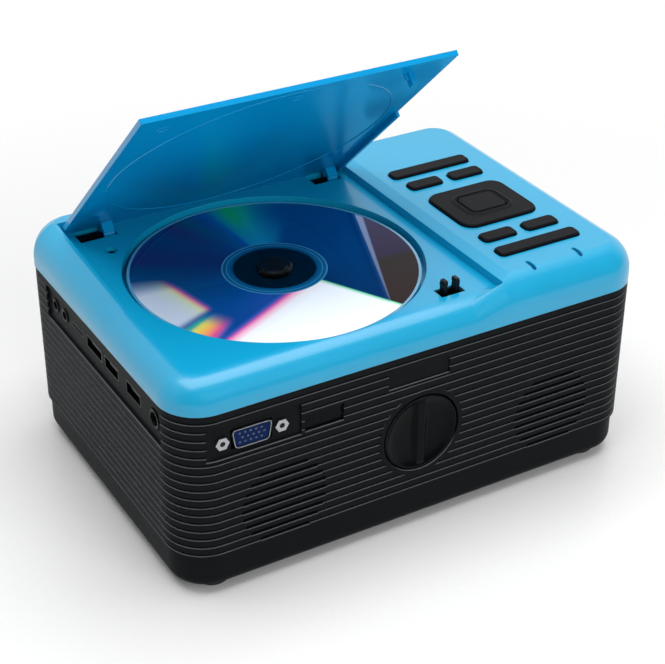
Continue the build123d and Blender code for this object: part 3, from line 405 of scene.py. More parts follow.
@dataclass(frozen=True)
class DiscFilm:
    """A pressed polycarbonate disc: a clear hub zone, then a mirror layer whose tracks split the light.

    Its mirror layer's colours are painted light: painted reflections of the blue lid and the dark room, and
    painted highlights of diffracted lamp light that also glow. Its edges are lines through two points, in
    millimetres from the hub.

    Attributes:
        name: the material's real name.
        centre_mm: the disc's axis in the row frame.
        ring_mm: radius where the thin metal round the clear zone starts.
        clear_mm: radius where the mirror layer starts.
        rim_mm: radius where it ends.
        disc_mm: the disc's radius.
        dark_reflection_edge: edge of the sector on the right with a painted dark reflection of the open room.
        tone_edge: line that parts that sector's two dark tones.
        green_edge: right edge of the wide white fan at the front, a painted highlight.
        pink_edge: left edge of that fan.
        pale_edge: edge of the pale patch at the left, a painted highlight.
    """

    name: str
    centre_mm: Point
    ring_mm: float = 17.0
    clear_mm: float = 21.65
    rim_mm: float = 58.8
    disc_mm: float = 60.0
    dark_reflection_edge: Edge = ((57.4, 27.9), (27.2, -45.8))
    tone_edge: Edge = ((60.0, -14.0), (30.0, -14.0))
    green_edge: Edge = ((27.5, -46.9), (10.8, -15.9))
    pink_edge: Edge = ((1.2, -18.3), (-38.9, -39.4))
    pale_edge: Edge = ((-44.0, 9.0), (-38.5, -19.0))

    @staticmethod
    def across(tree: bpy.types.NodeTree, place: Any, edge: Edge, span_mm: float,
               stops: Sequence[tuple[float, Any]]) -> Any:
        """Colours the disc by the distance from an edge.

        Args:
            tree: the node tree.
            place: position from the hub, in millimetres.
            edge: two points; distances are positive to the left of the way between them.
            span_mm: the ramp runs from minus to plus this distance.
            stops: the ramp's stops.

        Returns:
            The ramp's colour socket.
        """
        start, end = edge
        length = math.dist(start, end)
        normal = (-(end[1] - start[1]) / length, (end[0] - start[0]) / length, 0.0)
        offset = normal[0] * start[0] + normal[1] * start[1]
        along = add_node(tree, "VectorMath", {"operation": "DOT_PRODUCT"}, {0: place, 1: normal})
        share = maths(tree, "MULTIPLY_ADD", along.outputs["Value"], 0.5 / span_mm,
                      0.5 - offset * 0.5 / span_mm, clamp=True)
        return ramp(tree, share, stops)

    @staticmethod
    def around(tree: bpy.types.NodeTree, place: Any, stops: Sequence[tuple[float, Any]]) -> Any:
        """Colours the disc by the angle about the hub.

        Args:
            tree: the node tree.
            place: position from the hub, in millimetres.
            stops: angles in degrees with hex colours or grey levels.

        Returns:
            The ramp's colour socket.
        """
        split = add_node(tree, "SeparateXYZ", None, {0: place})
        turn = maths(tree, "ARCTAN2", split.outputs["Y"], split.outputs["X"])
        share = maths(tree, "MULTIPLY_ADD", turn, 1 / TAU, 0.5)
        return ramp(tree, share, [((angle + 180) / 360, value) for angle, value in stops])

    @staticmethod
    def outward(tree: bpy.types.NodeTree, radius: Any, low: float, high: float, soft: bool = False) -> Any:
        """Rises from 0 to 1 between two radii, or falls where the second is the smaller one.

        Args:
            tree: the node tree.
            radius: distance from the hub, in millimetres.
            low: radius where it is 0.
            high: radius where it is 1.
            soft: whether it eases in and out.

        Returns:
            The socket.
        """
        kind = {"interpolation_type": "SMOOTHSTEP" if soft else "LINEAR"}
        return add_node(tree, "MapRange", kind, {
            "Value": radius, "From Min": low, "From Max": high}).outputs[0]

    def painted_reflection_and_rays(self, tree: bpy.types.NodeTree, place: Any, radius: Any) -> FilmLayers:
        """Starts the layers with the blue ground, a painted reflection of the blue lid over a part-mirror,
        and its green and violet rays, painted diffraction highlights.

        Args:
            tree: the node tree.
            place: position from the hub, in millimetres.
            radius: distance from the hub, in millimetres.

        Returns:
            The layers.
        """
        outer = self.around(tree, place, [
            (-180, "#1A5F98"), (-150, "#1A5CB8"), (-128, "#1452B0"), (-60, "#123C7C"), (-30, "#0A4A8C"),
            (20, "#045AA4"), (62, "#0463AC"), (71, "#0A86B0"), (77, "#10C0A0"), (84, "#10CC70"),
            (89, "#10A8B0"), (93, "#0872CC"), (98, "#1660B8"), (104, "#0A6C92"), (112, "#3A3488"),
            (122, "#0A5094"), (145, "#30287C"), (153, "#0A4C86"), (180, "#1A5F98")])
        inner = self.around(tree, place, [
            (-180, "#0A589C"), (-150, "#0F60B4"), (-125, "#2E66CC"), (-60, "#103670"), (0, "#0656A0"),
            (52, "#0662AC"), (61, "#1696CC"), (78, "#1AA4D0"), (88, "#169CCC"), (92, "#0A60C4"),
            (99, "#0F74B4"), (107, "#1A52A4"), (136, "#262E80"), (180, "#0A589C")])
        metal = self.around(tree, place, [(56, 0.5), (72, 0.1), (90, 0.2), (98, 0.5), (150, 0.5), (175, 0.4)])
        share = self.outward(tree, radius, 24.0, 54.0, soft=True)
        return FilmLayers(tree, blend(tree, share, inner, outer), metal)

    def painted_dark_reflection(self, tree: bpy.types.NodeTree, place: Any, layers: FilmLayers) -> Any:
        """Lays the dark sector on the right, a painted dark reflection of the open room over full mirror.

        Args:
            tree: the node tree.
            place: position from the hub, in millimetres.
            layers: what lies under.

        Returns:
            The mask of that sector.
        """
        mask = self.across(tree, place, self.dark_reflection_edge, 40.0, [(0.497, 0.0), (0.503, 1.0)])
        tones = self.across(tree, place, self.tone_edge, 45.0,
                            [(0.2, "#1C1448"), (0.49, "#170A38"), (0.52, "#12040E"), (0.8, "#220A0C")])
        layers.over(mask, tones, 1.0, 0.0)
        return mask

    def painted_fan_highlight(self, tree: bpy.types.NodeTree, place: Any, layers: FilmLayers) -> None:
        """Lays the wide white fan at the front, a painted highlight of diffracted lamp light that also glows,
        with its pink edge and its thin green one.

        Args:
            tree: the node tree.
            place: position from the hub, in millimetres.
            layers: what lies under.
        """
        right = self.across(tree, place, self.green_edge, 6.0, [(0.0, 0.0), (0.46, 0.0), (0.50, 1.0)])
        green = self.across(tree, place, self.green_edge, 6.0,
                            [(0.44, "#10305F"), (0.50, "#1C9A66"), (0.56, "#9FE0B8"), (0.70, "#FFFFFF")])
        left = self.across(tree, place, self.pink_edge, 16.0, [(0.40, 0.0), (0.50, 1.0)])
        pink = self.across(tree, place, self.pink_edge, 16.0, [
            (0.36, "#2E5CB8"), (0.45, "#6A54B4"), (0.50, "#D95AA4"), (0.56, "#F2B8CC"), (0.64, "#F0EEF0"),
            (0.8, "#F4F8FC")])
        layers.over(maths(tree, "MULTIPLY", left, right), blend(tree, 1.0, pink, green, "MULTIPLY"), 0.0, 1.0)

    def painted_left_highlights(self, tree: bpy.types.NodeTree, place: Any, radius: Any, layers: FilmLayers) -> None:
        """Lays the small yellow fan and the pale patch at the lower left rim, painted highlights of
        diffracted lamp light that also glow.

        Args:
            tree: the node tree.
            place: position from the hub, in millimetres.
            radius: distance from the hub, in millimetres.
            layers: what lies under.
        """
        yellow_fan_highlight = self.around(tree, place, [(-156, "#0B8C86"), (-152, "#2FA08A"), (-150, "#D8D050"),
                                          (-146, "#EEA648"), (-142, "#E04A84"), (-138, "#5A5CB8")])
        within = self.around(tree, place, [(-155, 0.0), (-153, 1.0), (-141, 1.0), (-137.5, 0.0)])
        far = self.outward(tree, radius, 41.0, 53.0, soft=True)
        layers.over(maths(tree, "MULTIPLY", within, far), yellow_fan_highlight, 0.0, 1.0)
        pale = self.across(tree, place, self.pale_edge, 14.0, [
            (0.14, "#C4CEDC"), (0.36, "#CDD8CC"), (0.44, "#D8D6A0"), (0.49, "#E09A9C"), (0.54, "#D0559C"),
            (0.60, "#4A54B0")])
        beside = self.across(tree, place, self.pale_edge, 14.0, [(0.50, 1.0), (0.62, 0.0)])
        above = self.around(tree, place, [(-180, 1.0), (-158, 1.0), (-154, 0.0), (162, 0.0), (175, 1.0)])
        layers.over(maths(tree, "MULTIPLY", beside, above), pale, 0.05, 0.6)

    def mirror_layer(self, tree: bpy.types.NodeTree, place: Any, radius: Any) -> Any:
        """Builds the look of the mirror layer.

        Args:
            tree: the node tree.
            place: position from the hub, in millimetres.
            radius: distance from the hub, in millimetres.

        Returns:
            The shader's socket.
        """
        # painted light: the mirror layer gets painted reflections and painted, glowing highlights of
        # diffracted lamp light
        layers = self.painted_reflection_and_rays(tree, place, radius)
        dark = self.painted_dark_reflection(tree, place, layers)
        self.painted_fan_highlight(tree, place, layers)
        self.painted_left_highlights(tree, place, radius, layers)
        # track pitch is far too fine to show; rings of 0.6 mm stand for the faint banding
        rings = add_node(tree, "TexWave", {"wave_type": "RINGS", "rings_direction": "SPHERICAL"},
                         {"Vector": place, "Scale": 0.26, "Distortion": 0.0}).outputs["Fac"]
        rough = add_node(tree, "MapRange", None, {"Value": rings, "To Min": 0.07, "To Max": 0.11}).outputs[0]
        # the pale fans glow with a painted emission that stands for the lamps' light the tracks send back,
        # added to the plain shading
        return add_node(tree, "BsdfPrincipled", None, {
            "Base Color": layers.paint, "Metallic": layers.metal, "Roughness": rough,
            "Coat Weight": maths(tree, "SUBTRACT", 1.0, dark), "Coat Roughness": 0.02, "Coat IOR": 1.58,
            "Specular IOR Level": 0.3, "Emission Color": layers.paint,
            "Emission Strength": maths(tree, "MULTIPLY", layers.painted_glow, 0.2)}).outputs[0]

    def clear_zone(self, tree: bpy.types.NodeTree, radius: Any) -> Any:
        """Builds the look of the clear plastic round the hub and at the rim.

        Args:
            tree: the node tree.
            radius: distance from the hub, in millimetres.

        Returns:
            The shader's socket.
        """
        reach = maths(tree, "DIVIDE", radius, self.disc_mm)
        bands = ramp(tree, reach, [
            (0.0, "#6FB6DC"), (0.28, "#7DBEE0"), (0.355, "#5FA6CC"), (0.98, "#3F86AE"), (0.992, "#9CCDE2")])
        through = add_node(tree, "BsdfTransparent", None, {"Color": bands})
        gloss = add_node(tree, "BsdfGlossy", None, {"Color": srgb("#DCEAF2"), "Roughness": 0.04})
        skin = add_node(tree, "Fresnel", None, {"IOR": 1.58}).outputs[0]
        clear = add_node(tree, "MixShader", None, {0: skin, 1: through.outputs[0], 2: gloss.outputs[0]})
        # the metal layer thins out there, so its last rings are seen as a blue translucent band
        thin = ramp(tree, reach, [
            (0.283, "#053A60"), (0.30, "#0A5C90"), (0.322, "#0B669C"), (0.328, "#4A9CC4"), (0.334, "#08527F"),
            (0.352, "#0F70A8"), (0.358, "#5AAAD0")])
        band = add_node(tree, "BsdfPrincipled", None, {
            "Base Color": thin, "Roughness": 0.16, "Coat Weight": 1.0, "Coat Roughness": 0.03})
        beyond = self.outward(tree, radius, self.ring_mm - 0.1, self.ring_mm + 0.1)
        share = maths(tree, "MULTIPLY", beyond, 0.9)
        return add_node(tree, "MixShader", None, {
            0: share, 1: clear.outputs[0], 2: band.outputs[0]}).outputs[0]

    def build(self) -> bpy.types.Material:
        """Builds the material.

        Returns:
            The finished material.
        """
        material, tree, output = new_material(self.name)
        raw = add_node(tree, "TexCoord").outputs["Object"]
        shift = (-self.centre_mm[0], -self.centre_mm[1], 0.0)
        place = add_node(tree, "Mapping", None, {
            "Vector": raw, "Scale": (1 / MM, 1 / MM, 0.0), "Location": shift}).outputs[0]
        radius = add_node(tree, "VectorMath", {"operation": "LENGTH"}, {0: place}).outputs["Value"]
        layered = maths(tree, "MULTIPLY", self.outward(tree, radius, self.clear_mm, self.clear_mm + 0.15),
                        self.outward(tree, radius, self.rim_mm + 0.15, self.rim_mm))
        mixed = add_node(tree, "MixShader", None, {
            0: layered, 1: self.clear_zone(tree, radius), 2: self.mirror_layer(tree, place, radius)})
        tree.links.new(mixed.outputs[0], output.inputs[0])
        return material


# Injection-moulded ABS, sky blue, from a fine blasted mould: an even satin with a soft wide highlight
BLUE_ABS = Plastic("blue_abs_satin", "#08A0CC", 0.34, Relief.SATIN, 0.45, 0.002, 0.35, edge_mm=0.35)
# The same ABS from a polished mould: the lid mirrors its surroundings softly
LID_ABS = Plastic("blue_abs_polished", "#0092CE", 0.18, Relief.POLISHED, 1.2, 0.001, 0.15, edge_mm=0.3,
                  shine=0.3)
# Black ABS from a spark-eroded mould: its pits trap the mirrored light; its ribs' upward ledges get a painted
# grey highlight
CASE_ABS = Plastic("black_abs_sparked", "#15181A", 0.42, Relief.SPARKED, 0.35, 0.006, ior=1.1,
                   edge_mm=0.24, ledge_highlight="#6A6D70")
# Black ABS, smooth satin, on the base pan
PAN_ABS = Plastic("black_abs_satin", "#15181A", 0.40, Relief.SATIN, 0.5, 0.003, ior=1.1, edge_mm=0.3)
# Charcoal ABS with a soft satin lacquer on the keys
KEY_ABS = Plastic("charcoal_key_lacquer", "#121317", 0.5, Relief.SATIN, 0.3, 0.004, edge_mm=0.25,
                  shine=0.07)
# Black ABS from a polished mould on the knob and the receiver window
GLOSS_ABS = Plastic("black_abs_gloss", "#07090B", 0.26, Relief.POLISHED, 1.5, 0.001, ior=1.15, edge_mm=0.3)
# Polyoxymethylene, black, for slides, hub and latch: waxy and plain
POM = Plastic("black_pom", "#0A0B0D", 0.36, Relief.SATIN, 0.6, 0.003, edge_mm=0.15, shine=0.2)
# Deep blue PBT of the video socket's insert
BLUE_PBT = Plastic("blue_pbt", "#04204E", 0.38, Relief.SATIN, 0.4, 0.003, shine=0.06)
# Dark blue acrylic light guides
LAMP_PMMA = Plastic("blue_pmma", "#0E5C94", 0.15, Relief.POLISHED, 1.0, 0.001, 0.5)
# Glass-fibre board with a green solder mask
BOARD = Plastic("fr4_green_mask", "#1E5C38", 0.35, Relief.SATIN, 0.8, 0.01)
# Thermoplastic rubber of feet, dampers and the ribbed focus ring
RUBBER = Plastic("black_tpe", "#18191A", 0.72, Relief.SPARKED, 0.4, 0.012)
# White alumina of the lamp carrier
ALUMINA = Plastic("white_alumina", "#E6E1D2", 0.5, Relief.SATIN, 0.4, 0.004, ior=1.7)
# Zinc-plated steel of screws, rods and springs
ZINC_STEEL = Metal("zinc_plated_steel", "#C4C6C8", 0.28)
# Blackened steel of the lid's pins and spring and of the side sockets' shells
BLACK_STEEL = Metal("blackened_steel", "#2B2C30", 0.34)
# Nickelled steel sheet of the sockets, dull
NICKELLED = Metal("nickelled_steel", "#B4B5B8", 0.34, Relief.POLISHED, 0.4)
# Gilt contact springs
GILT = Metal("gilt_contacts", "#D8B061", 0.25, Relief.POLISHED, 0.3)
# Phosphor bronze spring in the hub
BRONZE = Metal("phosphor_bronze", "#D9A08A", 0.25, Relief.POLISHED, 0.3)
# Extruded aluminium of the heatsink
ALUMINIUM = Metal("extruded_aluminium", "#C9CBCE", 0.35)
# Coated crown glass of the lens
CROWN_GLASS = Glass("coated_crown_glass", "#E4ECF2")

NODE_FINISHES: dict[str, tuple[str, ...]] = {
    "blue_abs_satin": ("top_shell",),
    "blue_abs_polished": ("disc_lid",),
    "black_abs_sparked": ("lower_case",),
    "black_abs_satin": ("base_pan", "engine_housing", "engine_cover", "lens_tube", "lens_barrel"),
    "charcoal_key_lacquer": ("rear_long_key", "rear_left_key", "rear_right_key", "direction_key",
                             "centre_key", "front_left_key", "front_right_key", "front_long_key"),
    "black_abs_gloss": ("keystone_knob", "receiver_window"),
    "black_pom": ("tact_switches", "lid_switch", "latch_frame", "latch_plunger", "latch_left_jaw",
                  "latch_right_jaw", "turntable", "deck_chassis", "pickup_sled", "speakers",
                  "audio_jacks", "power_jack", "fan_frame", "fan_rotor"),
    "blue_pbt": ("vga_insert",),
    "blue_pmma": ("indicator_windows",),
    "fr4_green_mask": ("key_board", "main_board", "power_board", "port_board"),
    "black_tpe": ("rubber_feet", "deck_dampers", "focus_ring"),
    "white_alumina": ("led_module",),
    "blackened_steel": ("lid_hinge_pins", "lid_spring", "data_sockets"),
    "zinc_plated_steel": ("hub_balls", "screws", "spindle_motor",
                          "guide_rods", "feed_screw", "feed_motor", "knob_clip"),
    "nickelled_steel": ("vga_shell", "vga_standoffs"),
    "extruded_aluminium": ("heatsink",),
    "coated_crown_glass": ("pickup_lens", "fresnel_lenses", "lcd_panel", "lens_elements"),
}


# ---------------------------------------------------------------- mesh helpers
@dataclass
class Maker:
    """Turns mesh code into pieces that ride on the frame's bodies.

    Attributes:
        materials: finished materials by name.
    """

    materials: dict[str, bpy.types.Material]

    def piece(self, name: str, mesh: bmesh.types.BMesh, material: str, body: str, slot: str,
              place: Matrix | None = None, bevel_mm: float = 0.0, smooth_deg: float = 40.0,
              subdivide: int = 0) -> bpy.types.Object:
        """Makes a piece from a mesh drawn in millimetres.

        Args:
            name: the piece's name.
            mesh: the mesh, in millimetres; it is freed.
            material: the material's name.
            body: the CAD body it rides on.
            slot: not used.
            place: where the mesh goes, in millimetres.
            bevel_mm: width of a bevel on its sharp edges.
            smooth_deg: edges flatter than this are shaded smooth.
            subdivide: levels of subdivision.

        Returns:
            The piece.
        """
        if place is not None:
            mesh.transform(place)
        mesh.transform(Matrix.Scale(MM, 4))
        bmesh.ops.recalc_face_normals(mesh, faces=mesh.faces)
        data = bpy.data.meshes.new(name)
        mesh.to_mesh(data)
        mesh.free()
        data.materials.append(self.materials[material])
        piece = bpy.data.objects.new(name, data)
        bpy.context.scene.collection.objects.link(piece)
        if bevel_mm:
            bevel = piece.modifiers.new("edges", "BEVEL")
            bevel.width = bevel_mm * MM
            bevel.segments = 2
            bevel.limit_method = "ANGLE"
            bevel.angle_limit = math.radians(35)
        if subdivide:
            piece.modifiers.new("surface", "SUBSURF").levels = subdivide
            piece.modifiers["surface"].render_levels = subdivide
        data.shade_smooth()
        data.set_sharp_from_angle(angle=math.radians(smooth_deg))
        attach(piece, body)
        LOG.info("piece %s: %d faces on %s", name, len(data.polygons), body)
        return piece


def lathe(profile: Sequence[Point], steps: int = 64) -> bmesh.types.BMesh:
    """Turns a profile about Z.

    Args:
        profile: closed outline as (radius, height) pairs; a radius of 0 makes a pole.
        steps: segments round the axis.

    Returns:
        The turned mesh.
    """
    mesh = bmesh.new()
    rings = []
    for radius, height in profile:
        if radius < 1e-6:
            rings.append([mesh.verts.new((0.0, 0.0, height))])
        else:
            rings.append([mesh.verts.new((radius * math.cos(TAU * k / steps),
                                          radius * math.sin(TAU * k / steps), height))
                          for k in range(steps)])
    closed = len(rings[0]) > 1 and len(rings[-1]) > 1
    for index in range(len(rings) if closed else len(rings) - 1):
        a, b = rings[index], rings[(index + 1) % len(rings)]
        for k in range(steps):
            n = (k + 1) % steps
            corners = [a[k % len(a)], a[n % len(a)], b[n % len(b)], b[k % len(b)]]
            unique = list(dict.fromkeys(corners))
            if len(unique) > 2:
                mesh.faces.new(unique)
    return mesh


def join(target: bmesh.types.BMesh, part: bmesh.types.BMesh,
         shift: Sequence[float] = (0.0, 0.0, 0.0)) -> None:
    """Adds one mesh to another and frees it.

    Args:
        target: the mesh that grows.
        part: the mesh that is added.
        shift: how far it is moved first.
    """
    bmesh.ops.translate(part, verts=part.verts, vec=shift)
    data = bpy.data.meshes.new("part")
    part.to_mesh(data)
    target.from_mesh(data)
    bpy.data.meshes.remove(data)
    part.free()


def outline_round(width: float, depth: float, radius: float, steps: int = 6) -> list[Point]:
    """Outlines a rectangle with rounded corners.

    Args:
        width: size along the first axis.
        depth: size along the second axis.
        radius: corner radius.
        steps: segments a corner.

    Returns:
        The outline's points, anticlockwise.
    """
    points = []
    for index, (sx, sy) in enumerate(((1, 1), (-1, 1), (-1, -1), (1, -1))):
        for k in range(steps + 1):
            turn = (index + k / steps) * math.pi / 2
            points.append((sx * (width / 2 - radius) + radius * math.cos(turn),
                           sy * (depth / 2 - radius) + radius * math.sin(turn)))
    return points


def outline_d(width: float, height: float, slant: float, radius: float) -> list[Point]:
    """Outlines the D-shaped rim of a video socket: wider at the top.

    Args:
        width: widest size.
        height: height.
        slant: how much narrower the bottom is on each side.
        radius: corner radius.

    Returns:
        The outline's points, anticlockwise.
    """
    corners = [(width / 2, height / 2), (-width / 2, height / 2),
               (-width / 2 + slant, -height / 2), (width / 2 - slant, -height / 2)]
    points = []
    for index, corner in enumerate(corners):
        before, after = Vector(corners[index - 1]), Vector(corners[(index + 1) % 4])
        spot = Vector(corner)
        start = spot + (before - spot).normalized() * radius
        end = spot + (after - spot).normalized() * radius
        for k in range(6):
            t = k / 5
            bent = start * (1 - t) ** 2 + spot * 2 * t * (1 - t) + end * t ** 2
            points.append((bent.x, bent.y))
    return points


def prism(outer: Sequence[Point], low: float, high: float,
          inner: Sequence[Point] | None = None) -> bmesh.types.BMesh:
    """Raises an outline, with an optional hole of as many points.

    Args:
        outer: the outline.
        low: lower height.
        high: upper height.
        inner: the hole's outline.

    Returns:
        The mesh.
    """
    mesh = bmesh.new()
    loops = [[mesh.verts.new((x, y, z)) for x, y in line] for line in ([outer, inner] if inner else [outer])
             for z in (low, high)]
    count = len(outer)
    for k in range(count):
        n = (k + 1) % count
        mesh.faces.new((loops[0][k], loops[0][n], loops[1][n], loops[1][k]))
        if inner:
            mesh.faces.new((loops[2][n], loops[2][k], loops[3][k], loops[3][n]))
            mesh.faces.new((loops[1][k], loops[1][n], loops[3][n], loops[3][k]))
            mesh.faces.new((loops[0][n], loops[0][k], loops[2][k], loops[2][n]))
    if not inner:
        mesh.faces.new(loops[1])
        mesh.faces.new(loops[0][::-1])
    return mesh


def bar(low: Sequence[float], high: Sequence[float], mesh: bmesh.types.BMesh | None = None,
        taper: float = 0.0) -> bmesh.types.BMesh:
    """Adds a bar between two corners, narrower along X at its top by the taper on each side.

    Args:
        low: lowest corner.
        high: highest corner.
        mesh: a mesh to add to.
        taper: how far each X side leans in.

    Returns:
        The mesh.
    """
    mesh = mesh or bmesh.new()
    corners = []
    for z, lean in ((low[2], 0.0), (high[2], taper)):
        corners.append([mesh.verts.new((x, y, z)) for x, y in (
            (low[0] + lean, low[1]), (high[0] - lean, low[1]),
            (high[0] - lean, high[1]), (low[0] + lean, high[1]))])
    for k in range(4):
        n = (k + 1) % 4
        mesh.faces.new((corners[0][k], corners[0][n], corners[1][n], corners[1][k]))
    mesh.faces.new(corners[1])
    mesh.faces.new(corners[0][::-1])
    return mesh


def facing(direction: str, spot: Sequence[float]) -> Matrix:
    """Places a mesh drawn facing +Z so that it faces out of a side of the casing.

    Args:
        direction: "front", "left", "right" or "back".
        spot: where its origin goes, in millimetres.

    Returns:
        The placing matrix.
    """
    turns = {"front": (math.pi / 2, 0.0), "left": (math.pi / 2, -math.pi / 2),
             "right": (math.pi / 2, math.pi / 2), "back": (math.pi / 2, math.pi)}
    tilt, spin = turns[direction]
    return (Matrix.Translation(Vector(spot)) @ Matrix.Rotation(spin, 4, "Z")
            @ Matrix.Rotation(tilt, 4, "X"))


# ---------------------------------------------------------------- sub-assemblies
@dataclass
class CarriedNodes:
    """The CAD nodes that keep their own shape and get a finish."""

    maker: Maker

    def dress(self, nodes: dict[str, bpy.types.Object]) -> None:
        """Gives every CAD node its material.

        Args:
            nodes: the frame's nodes by name.
        """
        for finish, names in NODE_FINISHES.items():
            for name in names:
                node = nodes[name]
                node.data.materials.clear()
                node.data.materials.append(self.maker.materials[finish])
                LOG.info("finish %s on %s", finish, name)


@dataclass
class DiscLid:
    """The lid's fine relief, drawn on the shut lid and turned open with it."""

    maker: Maker
    hinge_y: float = 54.5
    hinge_z: float = 95.5
    open_deg: float = 43.0
    under_z: float = 99.8
    circle_r: float = 60.5
    centre: Point = HUB
    marks: tuple[Point, ...] = ((-84.0, -58.0), (-84.0, 36.0), (26.0, 30.0), (-29.5, -60.0))

    def place(self) -> Matrix:
        """Turns the drawn lid from shut to open about its hinge.

        Returns:
            The turn's matrix.
        """
        pivot = Vector((0.0, self.hinge_y, self.hinge_z))
        return (Matrix.Translation(pivot) @ Matrix.Rotation(math.radians(-self.open_deg), 4, "X")
                @ Matrix.Translation(-pivot))

    def build(self) -> None:
        """Builds the raised circle, the ejector marks and the striker's rib on the underside."""
        low = self.under_z - 0.25
        high = self.under_z + 0.3
        r = self.circle_r
        circle = lathe([(r - 0.5, high), (r - 0.35, low), (r + 0.35, low), (r + 0.5, high)], 128)
        bmesh.ops.translate(circle, verts=circle.verts, vec=(*self.centre, 0.0))
        self.maker.piece("lid_circle_bead", circle, "blue_abs_polished", "lid", "blue_shell", self.place())
        marks = bmesh.new()
        for x, y in self.marks:
            ring = lathe([(1.7, high), (1.8, low + 0.12), (2.4, low + 0.12), (2.5, high)], 32)
            join(marks, ring, (x, y, 0.0))
        self.maker.piece("lid_ejector_marks", marks, "blue_abs_polished", "lid", "blue_shell", self.place())
        rib = bar((17.4, -60.6, self.under_z - 2.6), (18.8, -59.4, self.under_z + 0.2))
        self.maker.piece("lid_striker_rib", rib, "blue_abs_polished", "lid", "blue_shell", self.place(), 0.2)


@dataclass
class DirectionPad:
    """The ridge round the centre key."""

    maker: Maker
    centre: Point = (68.5, -11.8)
    width: float = 18.0
    depth: float = 14.5
    corner: float = 3.0
    key_top: float = 103.3

    def build(self) -> None:
        """Builds the ridge on the direction key."""
        levels = ((1.05, -0.25), (1.05, 0.0), (1.5, 0.45), (2.1, 0.45), (3.0, 0.0), (3.0, -0.25))
        loops = [(outline_round(self.width + 2 * grow, self.depth + 2 * grow, self.corner + grow),
                  self.key_top + rise) for grow, rise in levels]
        mesh = bmesh.new()
        rings = [[mesh.verts.new((x, y, z)) for x, y in points] for points, z in loops]
        count = len(rings[0])
        for index in range(len(rings)):
            a, b = rings[index], rings[(index + 1) % len(rings)]
            for k in range(count):
                n = (k + 1) % count
                mesh.faces.new((a[k], a[n], b[n], b[k]))
        bmesh.ops.translate(mesh, verts=mesh.verts, vec=(*self.centre, 0.0))
        self.maker.piece("direction_key_ridge", mesh, "charcoal_key_lacquer", "direction", "key_plastic",
                         smooth_deg=30)


@dataclass
class KeystoneKnob:
    """The dished dial with its grip bar, and the bead round its pocket."""

    maker: Maker
    centre: Point = (-1.4, 45.9)
    front_y: float = -76.0
    radius: float = 17.2
    bead_r: float = 18.7

    def build(self) -> None:
        """Builds the dial and the bead."""
        r = self.radius
        dial = lathe([(0.0, -6.0), (r - 0.2, -6.0), (r, -5.6), (r, -0.9), (r - 0.25, -0.35), (r - 0.8, -0.1),
                      (r - 1.5, -0.35), (r - 2.2, -1.0), (r - 5.0, -1.7), (6.0, -2.1), (0.0, -2.2)], 96)
        grip = bmesh.new()
        sections = []
        for along in (-1.0, -0.93, -0.8, -0.5, 0.0, 0.5, 0.8, 0.93, 1.0):
            z = along * (r - 0.9)
            top = -0.35 if abs(along) < 0.95 else -0.9
            half = math.sqrt(max(0.0, (r - 0.7) ** 2 - z ** 2))
            base = min(4.6, max(1.9, half))
            sections.append([grip.verts.new((x, z, y)) for x, y in (
                (-base, -2.6), (-2.3, -1.3), (-1.75, top), (1.75, top), (2.3, -1.3), (base, -2.6))])
        for a, b in zip(sections, sections[1:]):
            for k in range(6):
                n = (k + 1) % 6
                grip.faces.new((a[k], a[n], b[n], b[k]))
        grip.faces.new(sections[0])
        grip.faces.new(sections[-1][::-1])
        join(dial, grip)
        spot = (self.centre[0], self.front_y, self.centre[1])
        knob = self.maker.piece("keystone_dial", dial, "black_abs_gloss", "knob", "gloss_black",
                                facing("front", spot), 0.25)
        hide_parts("keystone_knob")
        b = self.bead_r
        bead = lathe([(b + 0.55 * math.cos(TAU * k / 12), -0.6 + 0.55 * math.sin(TAU * k / 12))
                      for k in range(12)], 96)
        self.maker.piece("keystone_bead", bead, "black_abs_satin", "casing", "black_case",
                         facing("front", spot))


@dataclass
class VideoSocket:
    """The metal rim, the blue insert and its fifteen sprung contacts."""

    maker: Maker
    centre: Point = (-76.8, 70.4)
    face_y: float = -74.7
    width: float = 16.9
    height: float = 8.4
    pitch: float = 2.29
    row_shift: float = 1.15
    row_heights: tuple[float, ...] = (2.0, 0.0, -2.0)

    def build(self) -> None:
        """Builds rim, insert and contacts."""
        spot = (self.centre[0], self.face_y, self.centre[1])
        outer = outline_d(self.width, self.height, 1.3, 1.9)
        inner = outline_d(self.width - 0.7, self.height - 0.7, 1.25, 1.6)
        rim = prism(outer, -8.0, 1.0, inner)
        shell = self.maker.piece("video_socket_rim", rim, "nickelled_steel", "casing", "socket_metal",
                                 facing("front", spot), 0.12)
        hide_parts("vga_shell")
        body = prism(outline_d(self.width - 0.8, self.height - 0.8, 1.25, 1.6), -8.0, 0.5)
        insert = self.maker.piece("video_socket_insert", body, "blue_pbt", "casing", "vga_plastic",
                                  facing("front", spot), 0.2)
        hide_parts("vga_insert")
        contacts = bmesh.new()
        for row, height in enumerate(self.row_heights):
            for index in range(5):
                x = (index - 2) * self.pitch + (self.row_shift if row == 1 else 0.0) - 0.5
                cup = lathe([(0.0, 0.50), (0.2, 0.50), (0.32, 0.60), (0.42, 0.52), (0.42, 0.3),
                             (0.0, 0.3)], 16)
                join(contacts, cup, (x, height, 0.0))
        self.maker.piece("video_socket_contacts", contacts, "nickelled_steel", "casing", "socket_metal",
                         facing("front", spot))


